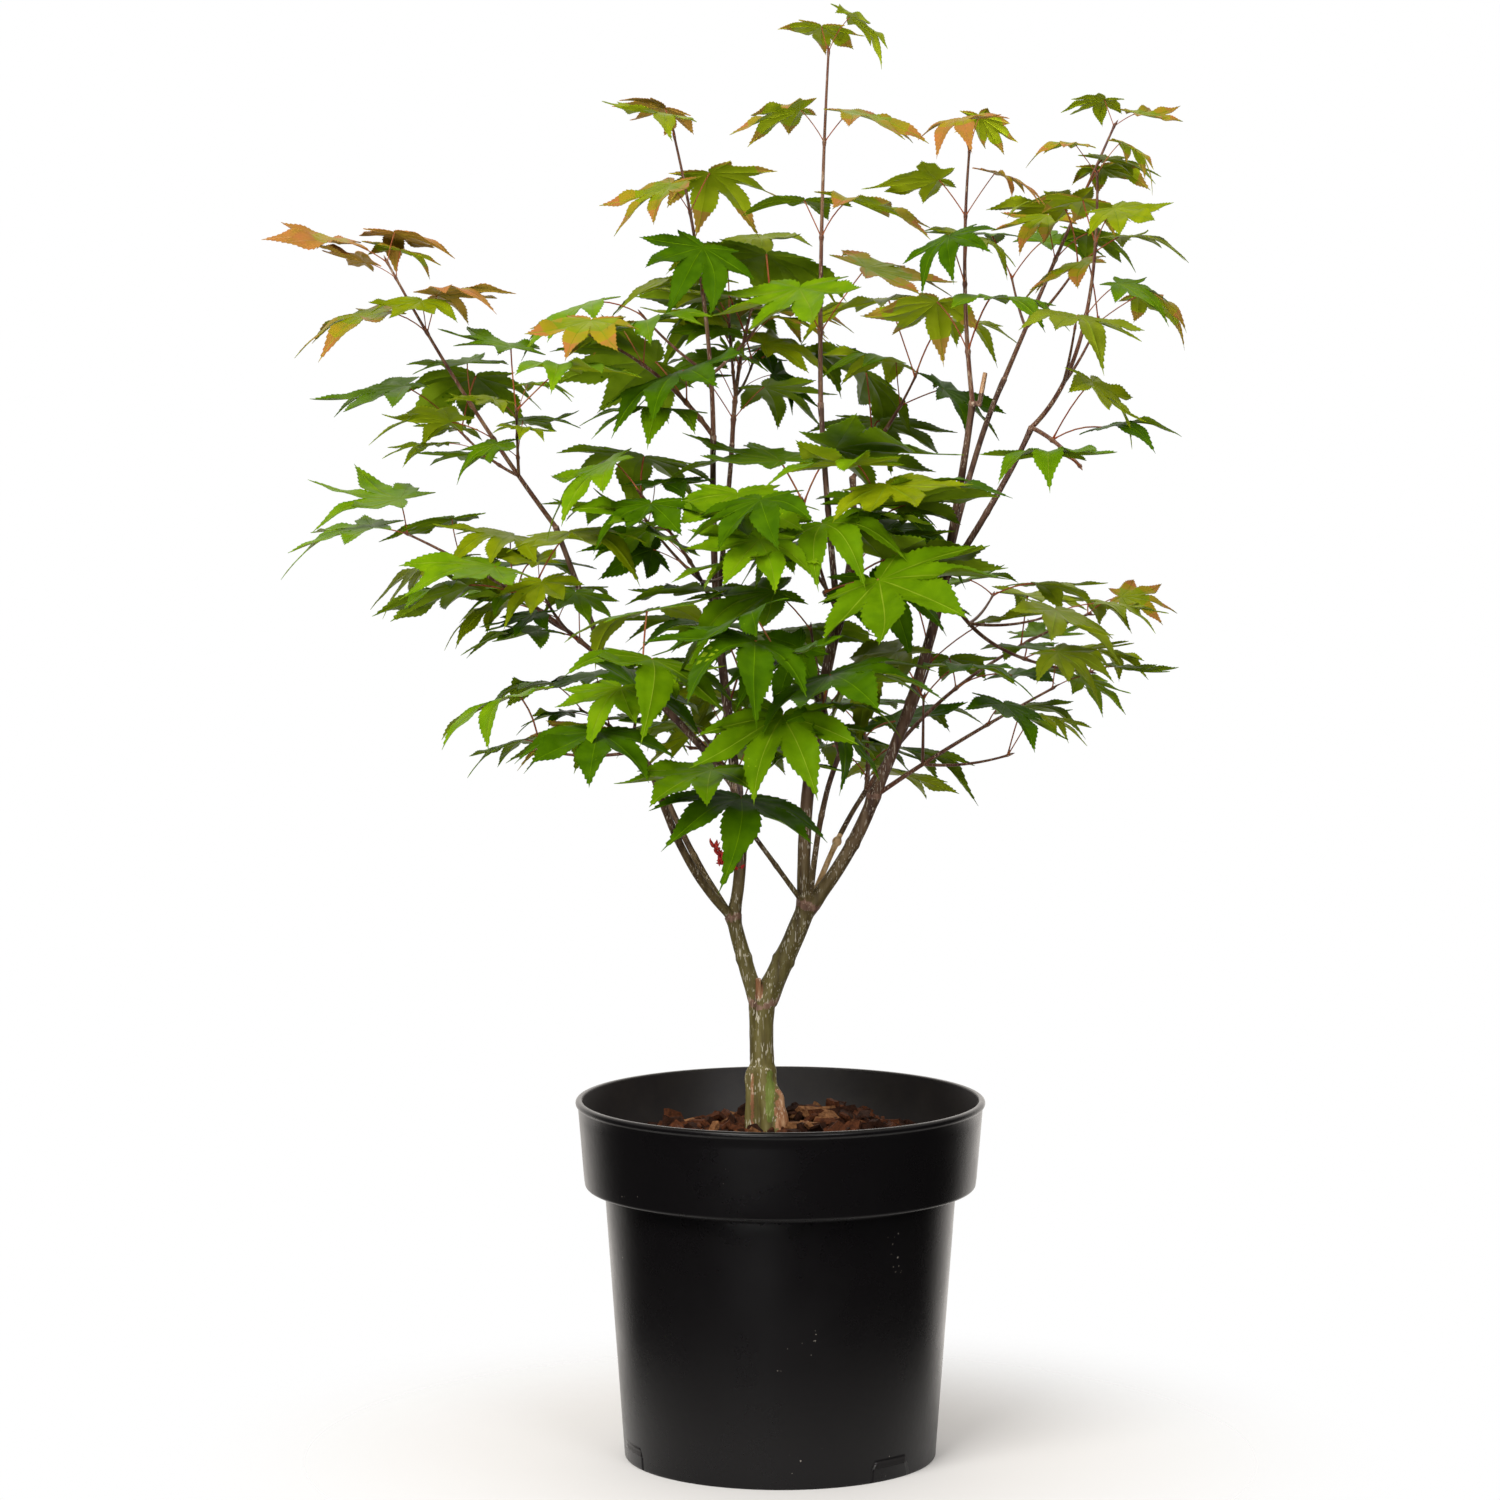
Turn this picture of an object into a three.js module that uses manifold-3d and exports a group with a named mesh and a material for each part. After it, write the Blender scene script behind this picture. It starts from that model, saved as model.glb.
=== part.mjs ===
// A young Japanese maple in a black plastic nursery container, in millimetres, +Z up.
// The origin is the centre of the container's underside, and -Y is the front.
//
// The wood is a short trunk that forks low, and boughs that fork again at each old bud ring. Every
// bough is one tapering limb. It ends where a mass of foliage begins: a shoot with side twigs, and
// pairs of palmate leaves on long stalks, each pair set at a right angle to the one below it.
// A mass is grown by a seeded rule, and leaves out each twig or leaf that would touch something.

import * as THREE from "three";
import { mergeVertices } from "three/addons/utils/BufferGeometryUtils.js";
import Module from "manifold-3d";

const wasm = await Module();
wasm.setup();

// ---------------------------------------------------------------- driving dimensions

const GAP = 0.3; // kept free between two pieces that meet

const POT = {
  height: 238, // rim above the ground
  rimRadius: 135, // outside of the rolled lip
  lipHeight: 4,
  lipWidth: 1.6, // how far the lip stands out from the collar
  collarRadius: 129, // at the collar's lower edge
  collarBottom: 180, // height of the step under the collar
  bodyRadius: 116, // just under the step
  footRadius: 103, // at the ground
  wall: 2,
  floorUnderside: 10.5, // the floor plate is raised, so that water can drain
  floorThickness: 2.5,
  bossRadius: 16, // middle foot under the floor plate
  notchAngles: [-69, 44, 167.5], // drainage notches in the foot, degrees from the front
  notchWidth: 31,
  drainHoles: 6,
  drainHoleRadius: 6,
  drainCircle: 70,
  sides: 36,
};

const SOIL = {
  edgeHeight: 197, // where the compost meets the wall
  topHeight: 214, // the level middle that the trunk stands on
  topRadius: 34,
};

const TRUNK = {
  footCentre: [-6.5, 0], // x, y of the flat cut on the compost
  tip: [-12, 0, 303],
  lean: -2.5, // how far its middle stands left of the straight line
  footRadius: 11.5,
  neckRadius: 8.7,
  forkRadius: 9.6,
  flareHeight: 34, // the root flare dies away over this height
  flare: 4.2, // how far the buttresses stand out at the foot
  buttresses: [20, 135, 205, 300], // their directions, degrees from +X
  spurHeight: 42, // top of the old graft shoulder on the left
  spurSize: 3.2,
  crotchHeight: 3.8, // how far the fork's saddle rises above the tip
  crotchShrink: 0.35,
  stubLean: [1, -3], // the pruned leader's dry stub in the fork
  stubLength: 13,
  stubRadius: 1.9,
  rings: [0, 0.06, 0.14, 0.26, 0.4, 0.47, 0.52, 0.75, 0.9, 1], // shares of its height
  sides: 16,
};

const THICK = { radius: 4, sides: 8, steps: 6 }; // a bough thicker than this has more faces
const THIN = { sides: 5, steps: 5 };
const BUD_RING = { from: 0.9, swell: 0.2 }; // shares of a bough's length and radius

// A bough runs from its parent's tip to its own. bend is how far its middle is off the straight
// line, and radii are those at its foot and its tip. side moves its foot towards +X.
const BOUGHS = [
  { name: "left", from: "trunk", tip: [-31, 4, 358], bend: [-1, 0, 0], radii: [5.3, 4.8] },
  { name: "right", from: "trunk", tip: [18, -4, 367], bend: [0, 0, -1], radii: [7.3, 6.5] },
  { name: "low_left", from: "left", tip: [-83, -50, 460], bend: [-4, 0, -8], radii: [3.1, 2.2] },
  { name: "low_back", from: "left", tip: [-82, 55, 447], bend: [-2, 0, -3], radii: [2.4, 1.9] },
  { name: "left_upright", from: "left", tip: [-29, 10, 443], bend: [4, 0, 2], radii: [4.1, 3.6] },
  { name: "far_left", from: "left_upright", tip: [-115, 28, 524], bend: [-5, 0, 12], radii: [2.7, 2.2] },
  { name: "upper_left", from: "far_left", tip: [-147, 10, 614], bend: [1, 0, -2], radii: [2.2, 1.8] },
  { name: "left_centre", from: "left_upright", tip: [-42, 30, 557], bend: [0, 0, 0], radii: [3.4, 2.8] },
  { name: "left_top", from: "left_centre", tip: [-44, 20, 673], bend: [-1, 0, 3], radii: [2.4, 1.9] },
  { name: "left_inner", from: "left_centre", tip: [-32, 95, 665], bend: [1, 0, 5], radii: [2, 1.6] },
  { name: "centre", from: "right", side: -2.5, tip: [38, -8, 556], bend: [-7, 0, -2], radii: [4.5, 3.4] },
  { name: "leader", from: "centre", tip: [26, 0, 695], bend: [-1, 0, 2], radii: [2.3, 1.8] },
  { name: "centre_back", from: "centre", tip: [48, 60, 644], bend: [4, 0, 1], radii: [2.8, 2] },
  { name: "front", from: "right", tip: [38, -60, 472], bend: [-2, 0, 10], radii: [2.2, 1.7] },
  { name: "front_left", from: "right", tip: [-22, -55, 425], bend: [-6, 0, 8], radii: [1.9, 1.5] },
  { name: "back_low", from: "right", tip: [57, 50, 436], bend: [0, 0, 6], radii: [2.1, 1.7] },
  { name: "sweep", from: "right", side: 2.5, tip: [61, -12, 440], bend: [4, 0, 0], radii: [4.8, 4.2] },
  { name: "sweep_upper", from: "sweep", tip: [106, -5, 580], bend: [4, 0, -1], radii: [3.9, 3.3] },
  { name: "right_top", from: "sweep_upper", tip: [123, -40, 697], bend: [2, 0, 8], radii: [2.9, 2.1] },
  { name: "right_back", from: "sweep_upper", tip: [149, 75, 709], bend: [0, 0, 12], radii: [2.3, 1.8] },
  { name: "right_out", from: "sweep_upper", tip: [162, -20, 680], bend: [6, 0, 6], radii: [2.4, 1.8] },
];

// A mass grows on from a bough's tip to the tip of its own shoot. nodes is its number of leaf or
// twig pairs, twigs how many of the lowest ones are twigs, leaf the length of a leaf's middle lobe
// on the lowest pair and at the tip, and hang how its blades lie.
const MASSES = [
  {
    name: "low_left_front", from: "low_left", tip: [-139, -105, 476], bend: [-2, 0, 13],
    nodes: 3, twigs: 1, leaf: [82, 70], hang: "low", seed: 143,
  },
  {
    name: "far_left", from: "far_left", tip: [-247, 20, 610], bend: [3, 0, 5],
    nodes: 4, twigs: 1, leaf: [70, 58], hang: "level", seed: 693,
  },
  {
    name: "upper_left", from: "upper_left", tip: [-256, -10, 789], bend: [-2, 0, -4],
    nodes: 4, twigs: 1, leaf: [70, 48], hang: "level", seed: 998,
  },
  {
    name: "left_back", from: "left_upright", tip: [-89, 190, 492], bend: [-1, 0, 12],
    nodes: 3, twigs: 1, leaf: [72, 60], hang: "low", seed: 236,
  },
  {
    name: "left_side", from: "left_centre", tip: [-91, -70, 641], bend: [6, 0, -3],
    nodes: 3, twigs: 1, leaf: [74, 64], hang: "low", seed: 33,
  },
  {
    name: "left_inner", from: "left_inner", tip: [-11, 150, 778], bend: [-4, 0, 5],
    nodes: 3, twigs: 1, leaf: [66, 50], hang: "mid", seed: 185,
  },
  {
    name: "centre_back", from: "centre_back", tip: [101, 120, 722], bend: [-6, 0, -11],
    nodes: 3, twigs: 1, leaf: [70, 56], hang: "low", seed: 385,
  },
  {
    name: "centre_front", from: "centre", tip: [-9, -110, 611], bend: [6, 0, 6],
    nodes: 3, twigs: 1, leaf: [78, 66], hang: "mid", seed: 491,
  },
  {
    name: "centre_mid", from: "centre", tip: [59, -70, 642], bend: [2, 0, 6],
    nodes: 3, twigs: 0, leaf: [72, 62], hang: "level", seed: 211,
  },
  {
    name: "front", from: "front", tip: [-6, -160, 549], bend: [4, 0, 5],
    nodes: 3, twigs: 1, leaf: [80, 68], hang: "low", seed: 483,
  },
  {
    name: "front_low", from: "front_left", tip: [-29, -130, 465], bend: [0, 0, 0],
    nodes: 2, twigs: 0, leaf: [74, 66], hang: "mid", seed: 495,
  },
  {
    name: "back_low", from: "back_low", tip: [53, 150, 479], bend: [4, 0, 4],
    nodes: 3, twigs: 0, leaf: [72, 62], hang: "level", seed: 327,
  },
  {
    name: "low_right", from: "sweep", tip: [176, -60, 515], bend: [-4, 0, 0],
    nodes: 3, twigs: 1, leaf: [68, 56], hang: "mid", seed: 815,
  },
  {
    name: "right_low", from: "sweep_upper", tip: [209, 70, 514], bend: [-16, 0, -12],
    nodes: 3, twigs: 1, leaf: [68, 58], hang: "level", seed: 740,
  },
  {
    name: "right_back", from: "back_low", tip: [217, 200, 545], bend: [-16, 0, 9],
    nodes: 4, twigs: 1, leaf: [70, 58], hang: "level", seed: 580,
  },
  {
    name: "right_top", from: "right_top", tip: [120, -50, 859], bend: [-4, 0, -1],
    nodes: 4, twigs: 0, leaf: [70, 46], hang: "mid", seed: 286,
  },
  {
    name: "left_top", from: "left_top", tip: [-70, 20, 871], bend: [6, 0, -4],
    nodes: 4, twigs: 1, leaf: [70, 44], hang: "mid", seed: 579,
  },
  {
    name: "right_back_top", from: "right_back", tip: [226, 130, 880], bend: [-4, 0, -8],
    nodes: 4, twigs: 1, leaf: [66, 46], hang: "level", seed: 394,
  },
  {
    name: "right_side", from: "right_out", tip: [203, -130, 638], bend: [0, 0, 6],
    nodes: 3, twigs: 0, leaf: [74, 64], hang: "low", seed: 338,
  },
  {
    name: "right_outer", from: "right_out", tip: [202, -40, 845], bend: [12, 0, -20],
    nodes: 4, twigs: 1, leaf: [68, 46], hang: "low", seed: 999,
  },
  {
    name: "left_upper", from: "left_top", tip: [-121, -40, 739], bend: [4, 0, 6],
    nodes: 3, twigs: 0, leaf: [70, 60], hang: "low", seed: 749,
  },
  {
    name: "low_left_back", from: "low_back", tip: [-135, 140, 482], bend: [0, 0, 6],
    nodes: 3, twigs: 0, leaf: [74, 62], hang: "low", seed: 284,
  },
  {
    name: "leader", from: "leader", tip: [31, 5, 925], bend: [-2, 0, -2],
    nodes: 4, twigs: 0, leaf: [68, 42], hang: "level", seed: 948,
  },
];

// The least and the most that a blade's middle rib rises for its level run.
const HANG = { level: [-0.5, 0.15], mid: [-0.8, -0.1], low: [-1.2, -0.4] };

const SHOOT = {
  radii: [1.9, 1.2], // at the bough and at the tip
  twigRadii: [1.5, 1.2],
  sides: 4,
  steps: 4,
  twigLength: 66, // of a side twig at the shoot's foot
  twigTaper: 0.7, // length of a twig at the shoot's tip, as a share of that
  twigSpread: 52, // degrees between a twig and the shoot
  twigRise: 0.15,
  twigSag: 0.05, // share of its length
  twigSides: 3,
  twigSteps: 2,
  lowest: -0.1, // no twig or stalk sets off more steeply downwards than this
  firstPair: 0.75, // of the way between two pairs, from the bough to the first one
  lastShare: 0.985, // of the way along the shoot
  pairShare: 0.96, // of the way along a side twig
  quarterTurn: 90, // between one pair and the next
  jitter: 24, // degrees either way
  reach: 165, // no leaf tip is farther than this from its mass's shoot
};

const STALK = {
  halfWidth: 0.6,
  length: [44, 24], // on the lowest pair and at the tip
  lengthSpread: 0.25, // share either way
  spread: 50, // degrees between a stalk and its twig
  rise: 0.3, // how much it lifts towards the light
  keel: 1.1, // its depth under the blade's heel
  rootOffset: 0.5, // its foot sits this far off the twig's axis
};

// The blade in units of its middle lobe: each lobe's direction from the middle one, in degrees, its
// length, and its half width. The outer lobes are plain points.
const BLADE = {
  lobes: [
    { angle: 0, length: 1, halfWidth: 0.17 },
    { angle: 37, length: 0.93, halfWidth: 0.165 },
    { angle: 76, length: 0.72, halfWidth: 0 },
    { angle: 122, length: 0.42, halfWidth: 0 },
  ],
  widestAt: 0.52, // share of a lobe's length
  sinus: 0.34, // distance from the stalk to the notch between two lobes
  heel: 0.06, // how far the blade reaches back past its ribs' meeting point
  keelSetback: 1, // the stalk meets the blade this far in front of its heel
  thickness: 1.3, // where the ribs meet
  sizeSpread: 0.15, // share either way
  roll: 18, // degrees either way about the middle rib
  cup: [0.14, 0.38], // how much the lobes droop at their tips
  droopPower: 1.6, // a lobe droops more and more towards its tip
  outward: 0.35, // how much a blade turns away from the middle of the crown
};

// Room that a leaf needs: its blade is tested a little larger, and thicker on both sides.
const ROOM = { size: 1.03, thickness: 1.6 };
const TRIES = 5; // attempts at a leaf before it is left out

// ---------------------------------------------------------------- shared helpers

const deg = THREE.MathUtils.degToRad;
const mix = THREE.MathUtils.lerp;
const vec = (p) => new THREE.Vector3(...p);
const UP = new THREE.Vector3(0, 0, 1);

// A repeatable stream of numbers from 0 to 1.
function seeded(seed) {
  let state = seed | 0;
  return () => {
    state = (state + 0x6d2b79f5) | 0;
    let t = Math.imul(state ^ (state >>> 15), 1 | state);
    t = (t + Math.imul(t ^ (t >>> 7), 61 | t)) ^ t;
    return ((t ^ (t >>> 14)) >>> 0) / 4294967296;
  };
}

function solidOf(geometry) {
  const bare = new THREE.BufferGeometry().setAttribute("position", geometry.getAttribute("position"));
  if (geometry.index) bare.setIndex(geometry.index);
  const merged = mergeVertices(bare, 1e-4);
  return new wasm.Manifold(
    new wasm.Mesh({
      numProp: 3,
      vertProperties: merged.getAttribute("position").array,
      triVerts: new Uint32Array(merged.index.array),
    }),
  );
}

function geometryOf(solid) {
  const mesh = solid.getMesh();
  const corners = new Float32Array(mesh.numVert * 3);
  for (let i = 0; i < mesh.numVert; i++) {
    corners.set(mesh.vertProperties.subarray(i * mesh.numProp, i * mesh.numProp + 3), i * 3);
  }
  const geometry = new THREE.BufferGeometry();
  geometry.setAttribute("position", new THREE.BufferAttribute(corners, 3));
  geometry.setIndex(new THREE.BufferAttribute(mesh.triVerts, 1));
  geometry.computeVertexNormals();
  return geometry;
}

// The largest body of a solid: a cut can leave a loose scrap behind.
function largestBody(solid) {
  return solid.decompose().reduce((a, b) => (b.volume() > a.volume() ? b : a));
}

// A closed skin over rings of points that all have the same number of points.
function loft(rings) {
  const count = rings[0].length;
  const points = rings.flat();
  const faces = [];
  for (let r = 0; r + 1 < rings.length; r++) {
    for (let i = 0; i < count; i++) {
      const a = r * count + i;
      const b = r * count + ((i + 1) % count);
      faces.push(a, b, b + count, a, b + count, a + count);
    }
  }
  const last = (rings.length - 1) * count;
  for (let i = 1; i + 1 < count; i++) {
    faces.push(0, i + 1, i, last, last + i, last + i + 1);
  }
  const geometry = new THREE.BufferGeometry().setFromPoints(points);
  geometry.setIndex(faces);
  return geometry;
}

// The line from start to tip whose middle is off the straight one by bend.
function bentLine(start, tip, bend) {
  const control = start.clone().add(tip).multiplyScalar(0.5).addScaledVector(bend, 2);
  return new THREE.QuadraticBezierCurve3(start, control, tip);
}

// A round limb along a curve. radiusAt gives its radius at a share of the length, and dome adds a
// rounded end.
function limb(curve, radiusAt, sides, steps, dome = false) {
  const frames = curve.computeFrenetFrames(steps, false);
  const ring = (centre, k, radius) =>
    Array.from({ length: sides }, (_, i) => {
      const turn = (2 * Math.PI * i) / sides;
      return centre
        .clone()
        .addScaledVector(frames.normals[k], radius * Math.cos(turn))
        .addScaledVector(frames.binormals[k], radius * Math.sin(turn));
    });
  const rings = Array.from({ length: steps + 1 }, (_, k) =>
    ring(curve.getPointAt(k / steps), k, radiusAt(k / steps)),
  );
  if (dome) {
    const radius = radiusAt(1);
    const end = curve.getPointAt(1).addScaledVector(frames.tangents[steps], 0.45 * radius);
    rings.push(ring(end, steps, 0.6 * radius));
  }
  return loft(rings);
}

// ---------------------------------------------------------------- container and compost

function makePot() {
  const p = POT;
  const inner = (radius) => radius - p.wall;
  const floorTop = p.floorUnderside + p.floorThickness;
  const slope = (p.bodyRadius - p.footRadius) / p.collarBottom;
  const profile = [
    [0, 0],
    [p.bossRadius, 0],
    [p.bossRadius, p.floorUnderside],
    [inner(p.footRadius), p.floorUnderside],
    [inner(p.footRadius), 0],
    [p.footRadius, 0],
    [p.bodyRadius, p.collarBottom],
    [p.collarRadius, p.collarBottom],
    [p.rimRadius - p.lipWidth, p.height - p.lipHeight],
    [p.rimRadius, p.height - 0.7 * p.lipHeight],
    [p.rimRadius, p.height - 0.2 * p.lipHeight],
    [p.rimRadius - 0.5 * p.lipWidth, p.height],
    [inner(p.rimRadius - p.lipWidth), p.height],
    [inner(p.collarRadius), p.collarBottom + p.wall],
    [inner(p.bodyRadius), p.collarBottom + p.wall],
    [inner(p.footRadius + slope * floorTop), floorTop],
    [0, floorTop],
  ].map(([r, z]) => new THREE.Vector2(r, z));
  const lathe = new THREE.LatheGeometry(profile, p.sides).rotateX(Math.PI / 2);
  let pot = solidOf(lathe);

  for (const angle of p.notchAngles) {
    const depth = 4 * p.wall;
    const notch = new THREE.BoxGeometry(p.notchWidth, depth, 2 * p.floorUnderside)
      .translate(0, -(p.footRadius - p.wall), 0)
      .rotateZ(deg(angle));
    pot = pot.subtract(solidOf(notch));
  }
  for (let i = 0; i < p.drainHoles; i++) {
    const hole = new THREE.CylinderGeometry(p.drainHoleRadius, p.drainHoleRadius, 4 * p.floorThickness, 8)
      .rotateX(Math.PI / 2)
      .translate(p.drainCircle, 0, p.floorUnderside)
      .rotateZ((2 * Math.PI * (i + 0.5)) / p.drainHoles);
    pot = pot.subtract(solidOf(hole));
  }
  return pot;
}

// The compost fills the container to below the rim, a little higher in the middle.
function makeSoil() {
  const p = POT;
  const floor = p.floorUnderside + p.floorThickness + GAP;
  const step = p.collarBottom + p.wall;
  const gap = p.wall + 1.5 * GAP;
  const collarSlope = (p.rimRadius - p.lipWidth - p.collarRadius) / (p.height - p.collarBottom);
  const edgeRadius = p.collarRadius - gap + collarSlope * (SOIL.edgeHeight - step);
  const mound = (share) => [
    mix(edgeRadius, SOIL.topRadius, share),
    mix(SOIL.edgeHeight, SOIL.topHeight, THREE.MathUtils.smoothstep(share, 0, 1)),
  ];
  const profile = [
    [0, floor],
    [p.footRadius - gap, floor],
    [p.bodyRadius - gap, step + GAP],
    [p.collarRadius - gap, step + GAP],
    mound(0),
    mound(0.35),
    mound(0.65),
    mound(1),
    [0, SOIL.topHeight],
  ].map(([r, z]) => new THREE.Vector2(r, z));
  return solidOf(new THREE.LatheGeometry(profile, p.sides).rotateX(Math.PI / 2));
}

// ---------------------------------------------------------------- wood

// The trunk stands on the compost: buttresses at the foot, a graft shoulder, and a dry stub in the
// fork. extra makes it that much fatter all round.
function makeTrunk(extra = 0) {
  const t = TRUNK;
  const foot = SOIL.topHeight + GAP;
  const height = t.tip[2] - foot;
  const rings = t.rings.map((share) => {
    const z = share * height;
    const fade = Math.max(0, 1 - z / t.flareHeight) ** 2;
    const swell = mix(t.neckRadius, t.forkRadius, THREE.MathUtils.smoothstep(share, 0.8, 1));
    const radius = mix(swell, t.footRadius, fade) + extra;
    const x = mix(t.footCentre[0], t.tip[0], share) + t.lean * 4 * share * (1 - share);
    const y = mix(t.footCentre[1], t.tip[1], share);
    return Array.from({ length: t.sides }, (_, i) => {
      const turn = (2 * Math.PI * i) / t.sides;
      const nearest = Math.max(0, ...t.buttresses.map((b) => Math.cos(turn - deg(b))));
      const shoulder = z < t.spurHeight ? t.spurSize * Math.max(0, -Math.cos(turn)) ** 3 : 0;
      const r = radius + t.flare * fade * nearest ** 6 + shoulder * (1 - 0.6 * fade);
      return new THREE.Vector3(x + r * Math.cos(turn), y + r * Math.sin(turn), foot + z);
    });
  });
  const crotch = vec(t.tip).setZ(t.tip[2] + t.crotchHeight + extra);
  const last = rings[rings.length - 1];
  rings.push(last.map((p) => p.clone().lerp(crotch, t.crotchShrink).setZ(crotch.z)));
  const stubTop = vec(t.tip).add(vec([...t.stubLean, t.stubLength + extra]));
  const stubLine = new THREE.LineCurve3(vec(t.tip), stubTop);
  const stub = limb(stubLine, () => t.stubRadius + extra, THIN.sides, 1);
  return solidOf(loft(rings)).add(solidOf(stub));
}

// Where a limb starts: in its parent's tip, off centre to the side that it leaves on.
function startOf(parent, tip, radius, side) {
  if (side !== undefined) return parent.tip.clone().add(vec([side, 0, 0]));
  const away = vec([tip.x - parent.tip.x, tip.y - parent.tip.y, 0]).normalize();
  return parent.tip.clone().addScaledVector(away, 0.7 * Math.max(0, parent.radius - radius));
}

function boughLine(bough, parent) {
  const tip = vec(bough.tip);
  return bentLine(startOf(parent, tip, bough.radii[0], bough.side), tip, vec(bough.bend));
}

// A bough tapers from its first radius to its second, and swells at the bud ring at its tip.
function makeBough(curve, bough, extra = 0) {
  const [foot, tip] = bough.radii;
  const swell = (s) => 1 + BUD_RING.swell * THREE.MathUtils.smoothstep(s, BUD_RING.from, 1);
  const { sides, steps } = foot > THICK.radius ? THICK : THIN;
  return solidOf(limb(curve, (s) => mix(foot, tip, s) * swell(s) + extra, sides, steps, true));
}

// ---------------------------------------------------------------- foliage

// A palmate blade on its stalk, as one closed skin. The blade's ribs meet at the origin, its middle
// lobe runs along +X and its upper side faces +Z. cup lets the lobes hang like the ribs of an
// umbrella, and root is the stalk's other end. Without a root there is only the blade.
function leafSkin(size, cup, thickness, root) {
  const b = BLADE;
  const at = (angle, distance, sideways = 0) => {
    const turn = deg(angle);
    const x = size * (distance * Math.cos(turn) - sideways * Math.sin(turn));
    const y = size * (distance * Math.sin(turn) + sideways * Math.cos(turn));
    return new THREE.Vector3(x, y, -cup * size * distance ** b.droopPower);
  };
  const mirrored = b.lobes.slice(1).reverse().map((lobe) => ({ ...lobe, angle: -lobe.angle }));
  const lobes = [...mirrored, ...b.lobes];
  const heel = -b.heel * size;
  const outline = [vec([heel, -STALK.halfWidth, 0])];
  lobes.forEach((lobe, i) => {
    if (i > 0) outline.push(at((lobes[i - 1].angle + lobe.angle) / 2, b.sinus));
    const middle = b.widestAt * lobe.length;
    if (lobe.halfWidth) outline.push(at(lobe.angle, middle, -lobe.halfWidth));
    outline.push(at(lobe.angle, lobe.length));
    if (lobe.halfWidth) outline.push(at(lobe.angle, middle, lobe.halfWidth));
  });
  outline.push(vec([heel, STALK.halfWidth, 0]));

  const count = outline.length;
  const [right, left, under, top, bottom] = [0, count - 1, count, count + 1, count + 2];
  const keel = vec([heel + b.keelSetback, 0, -STALK.keel]);
  const points = [...outline, keel, vec([0, 0, thickness / 2]), vec([0, 0, -thickness / 2])];
  const faces = [top, left, right, bottom, right, under, bottom, under, left];
  for (let i = 0; i + 1 < count; i++) faces.push(top, i, i + 1, bottom, i + 1, i);
  const mouth = [right, left, under];
  if (root) {
    const middle = new THREE.Triangle(...mouth.map((i) => points[i])).getMidpoint(new THREE.Vector3());
    const along = root.clone().sub(middle);
    const far = mouth.map((i) => points.push(points[i].clone().add(along)) - 1);
    mouth.forEach((near, k) => {
      const next = (k + 1) % 3;
      faces.push(near, mouth[next], far[next], near, far[next], far[k]);
    });
    faces.push(...far);
  } else {
    faces.push(...mouth);
  }
  const geometry = new THREE.BufferGeometry().setFromPoints(points);
  geometry.setIndex(faces);
  return geometry;
}

// Everything that has been built, to test new twigs and leaves against.
const built = [];

function remember(solid, owner, kind) {
  const { min, max } = solid.boundingBox();
  built.push({ solid, owner, kind, min, max });
}

function touches(solid, skip) {
  const { min, max } = solid.boundingBox();
  return built.some(
    (other) =>
      !skip(other) &&
      [0, 1, 2].every((k) => min[k] < other.max[k] && max[k] > other.min[k]) &&
      solid.intersect(other.solid).volume() > 0,
  );
}

// A direction that leaves an axis by spread degrees, at a turn about it.
function leaving(axis, turn, spread) {
  const upright = Math.abs(axis.z) > 0.95;
  const side = new THREE.Vector3().crossVectors(axis, upright ? vec([1, 0, 0]) : UP).normalize();
  const other = new THREE.Vector3().crossVectors(side, axis);
  return axis
    .clone()
    .multiplyScalar(Math.cos(spread))
    .addScaledVector(side, Math.sin(spread) * Math.cos(turn))
    .addScaledVector(other, Math.sin(spread) * Math.sin(turn));
}

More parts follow.
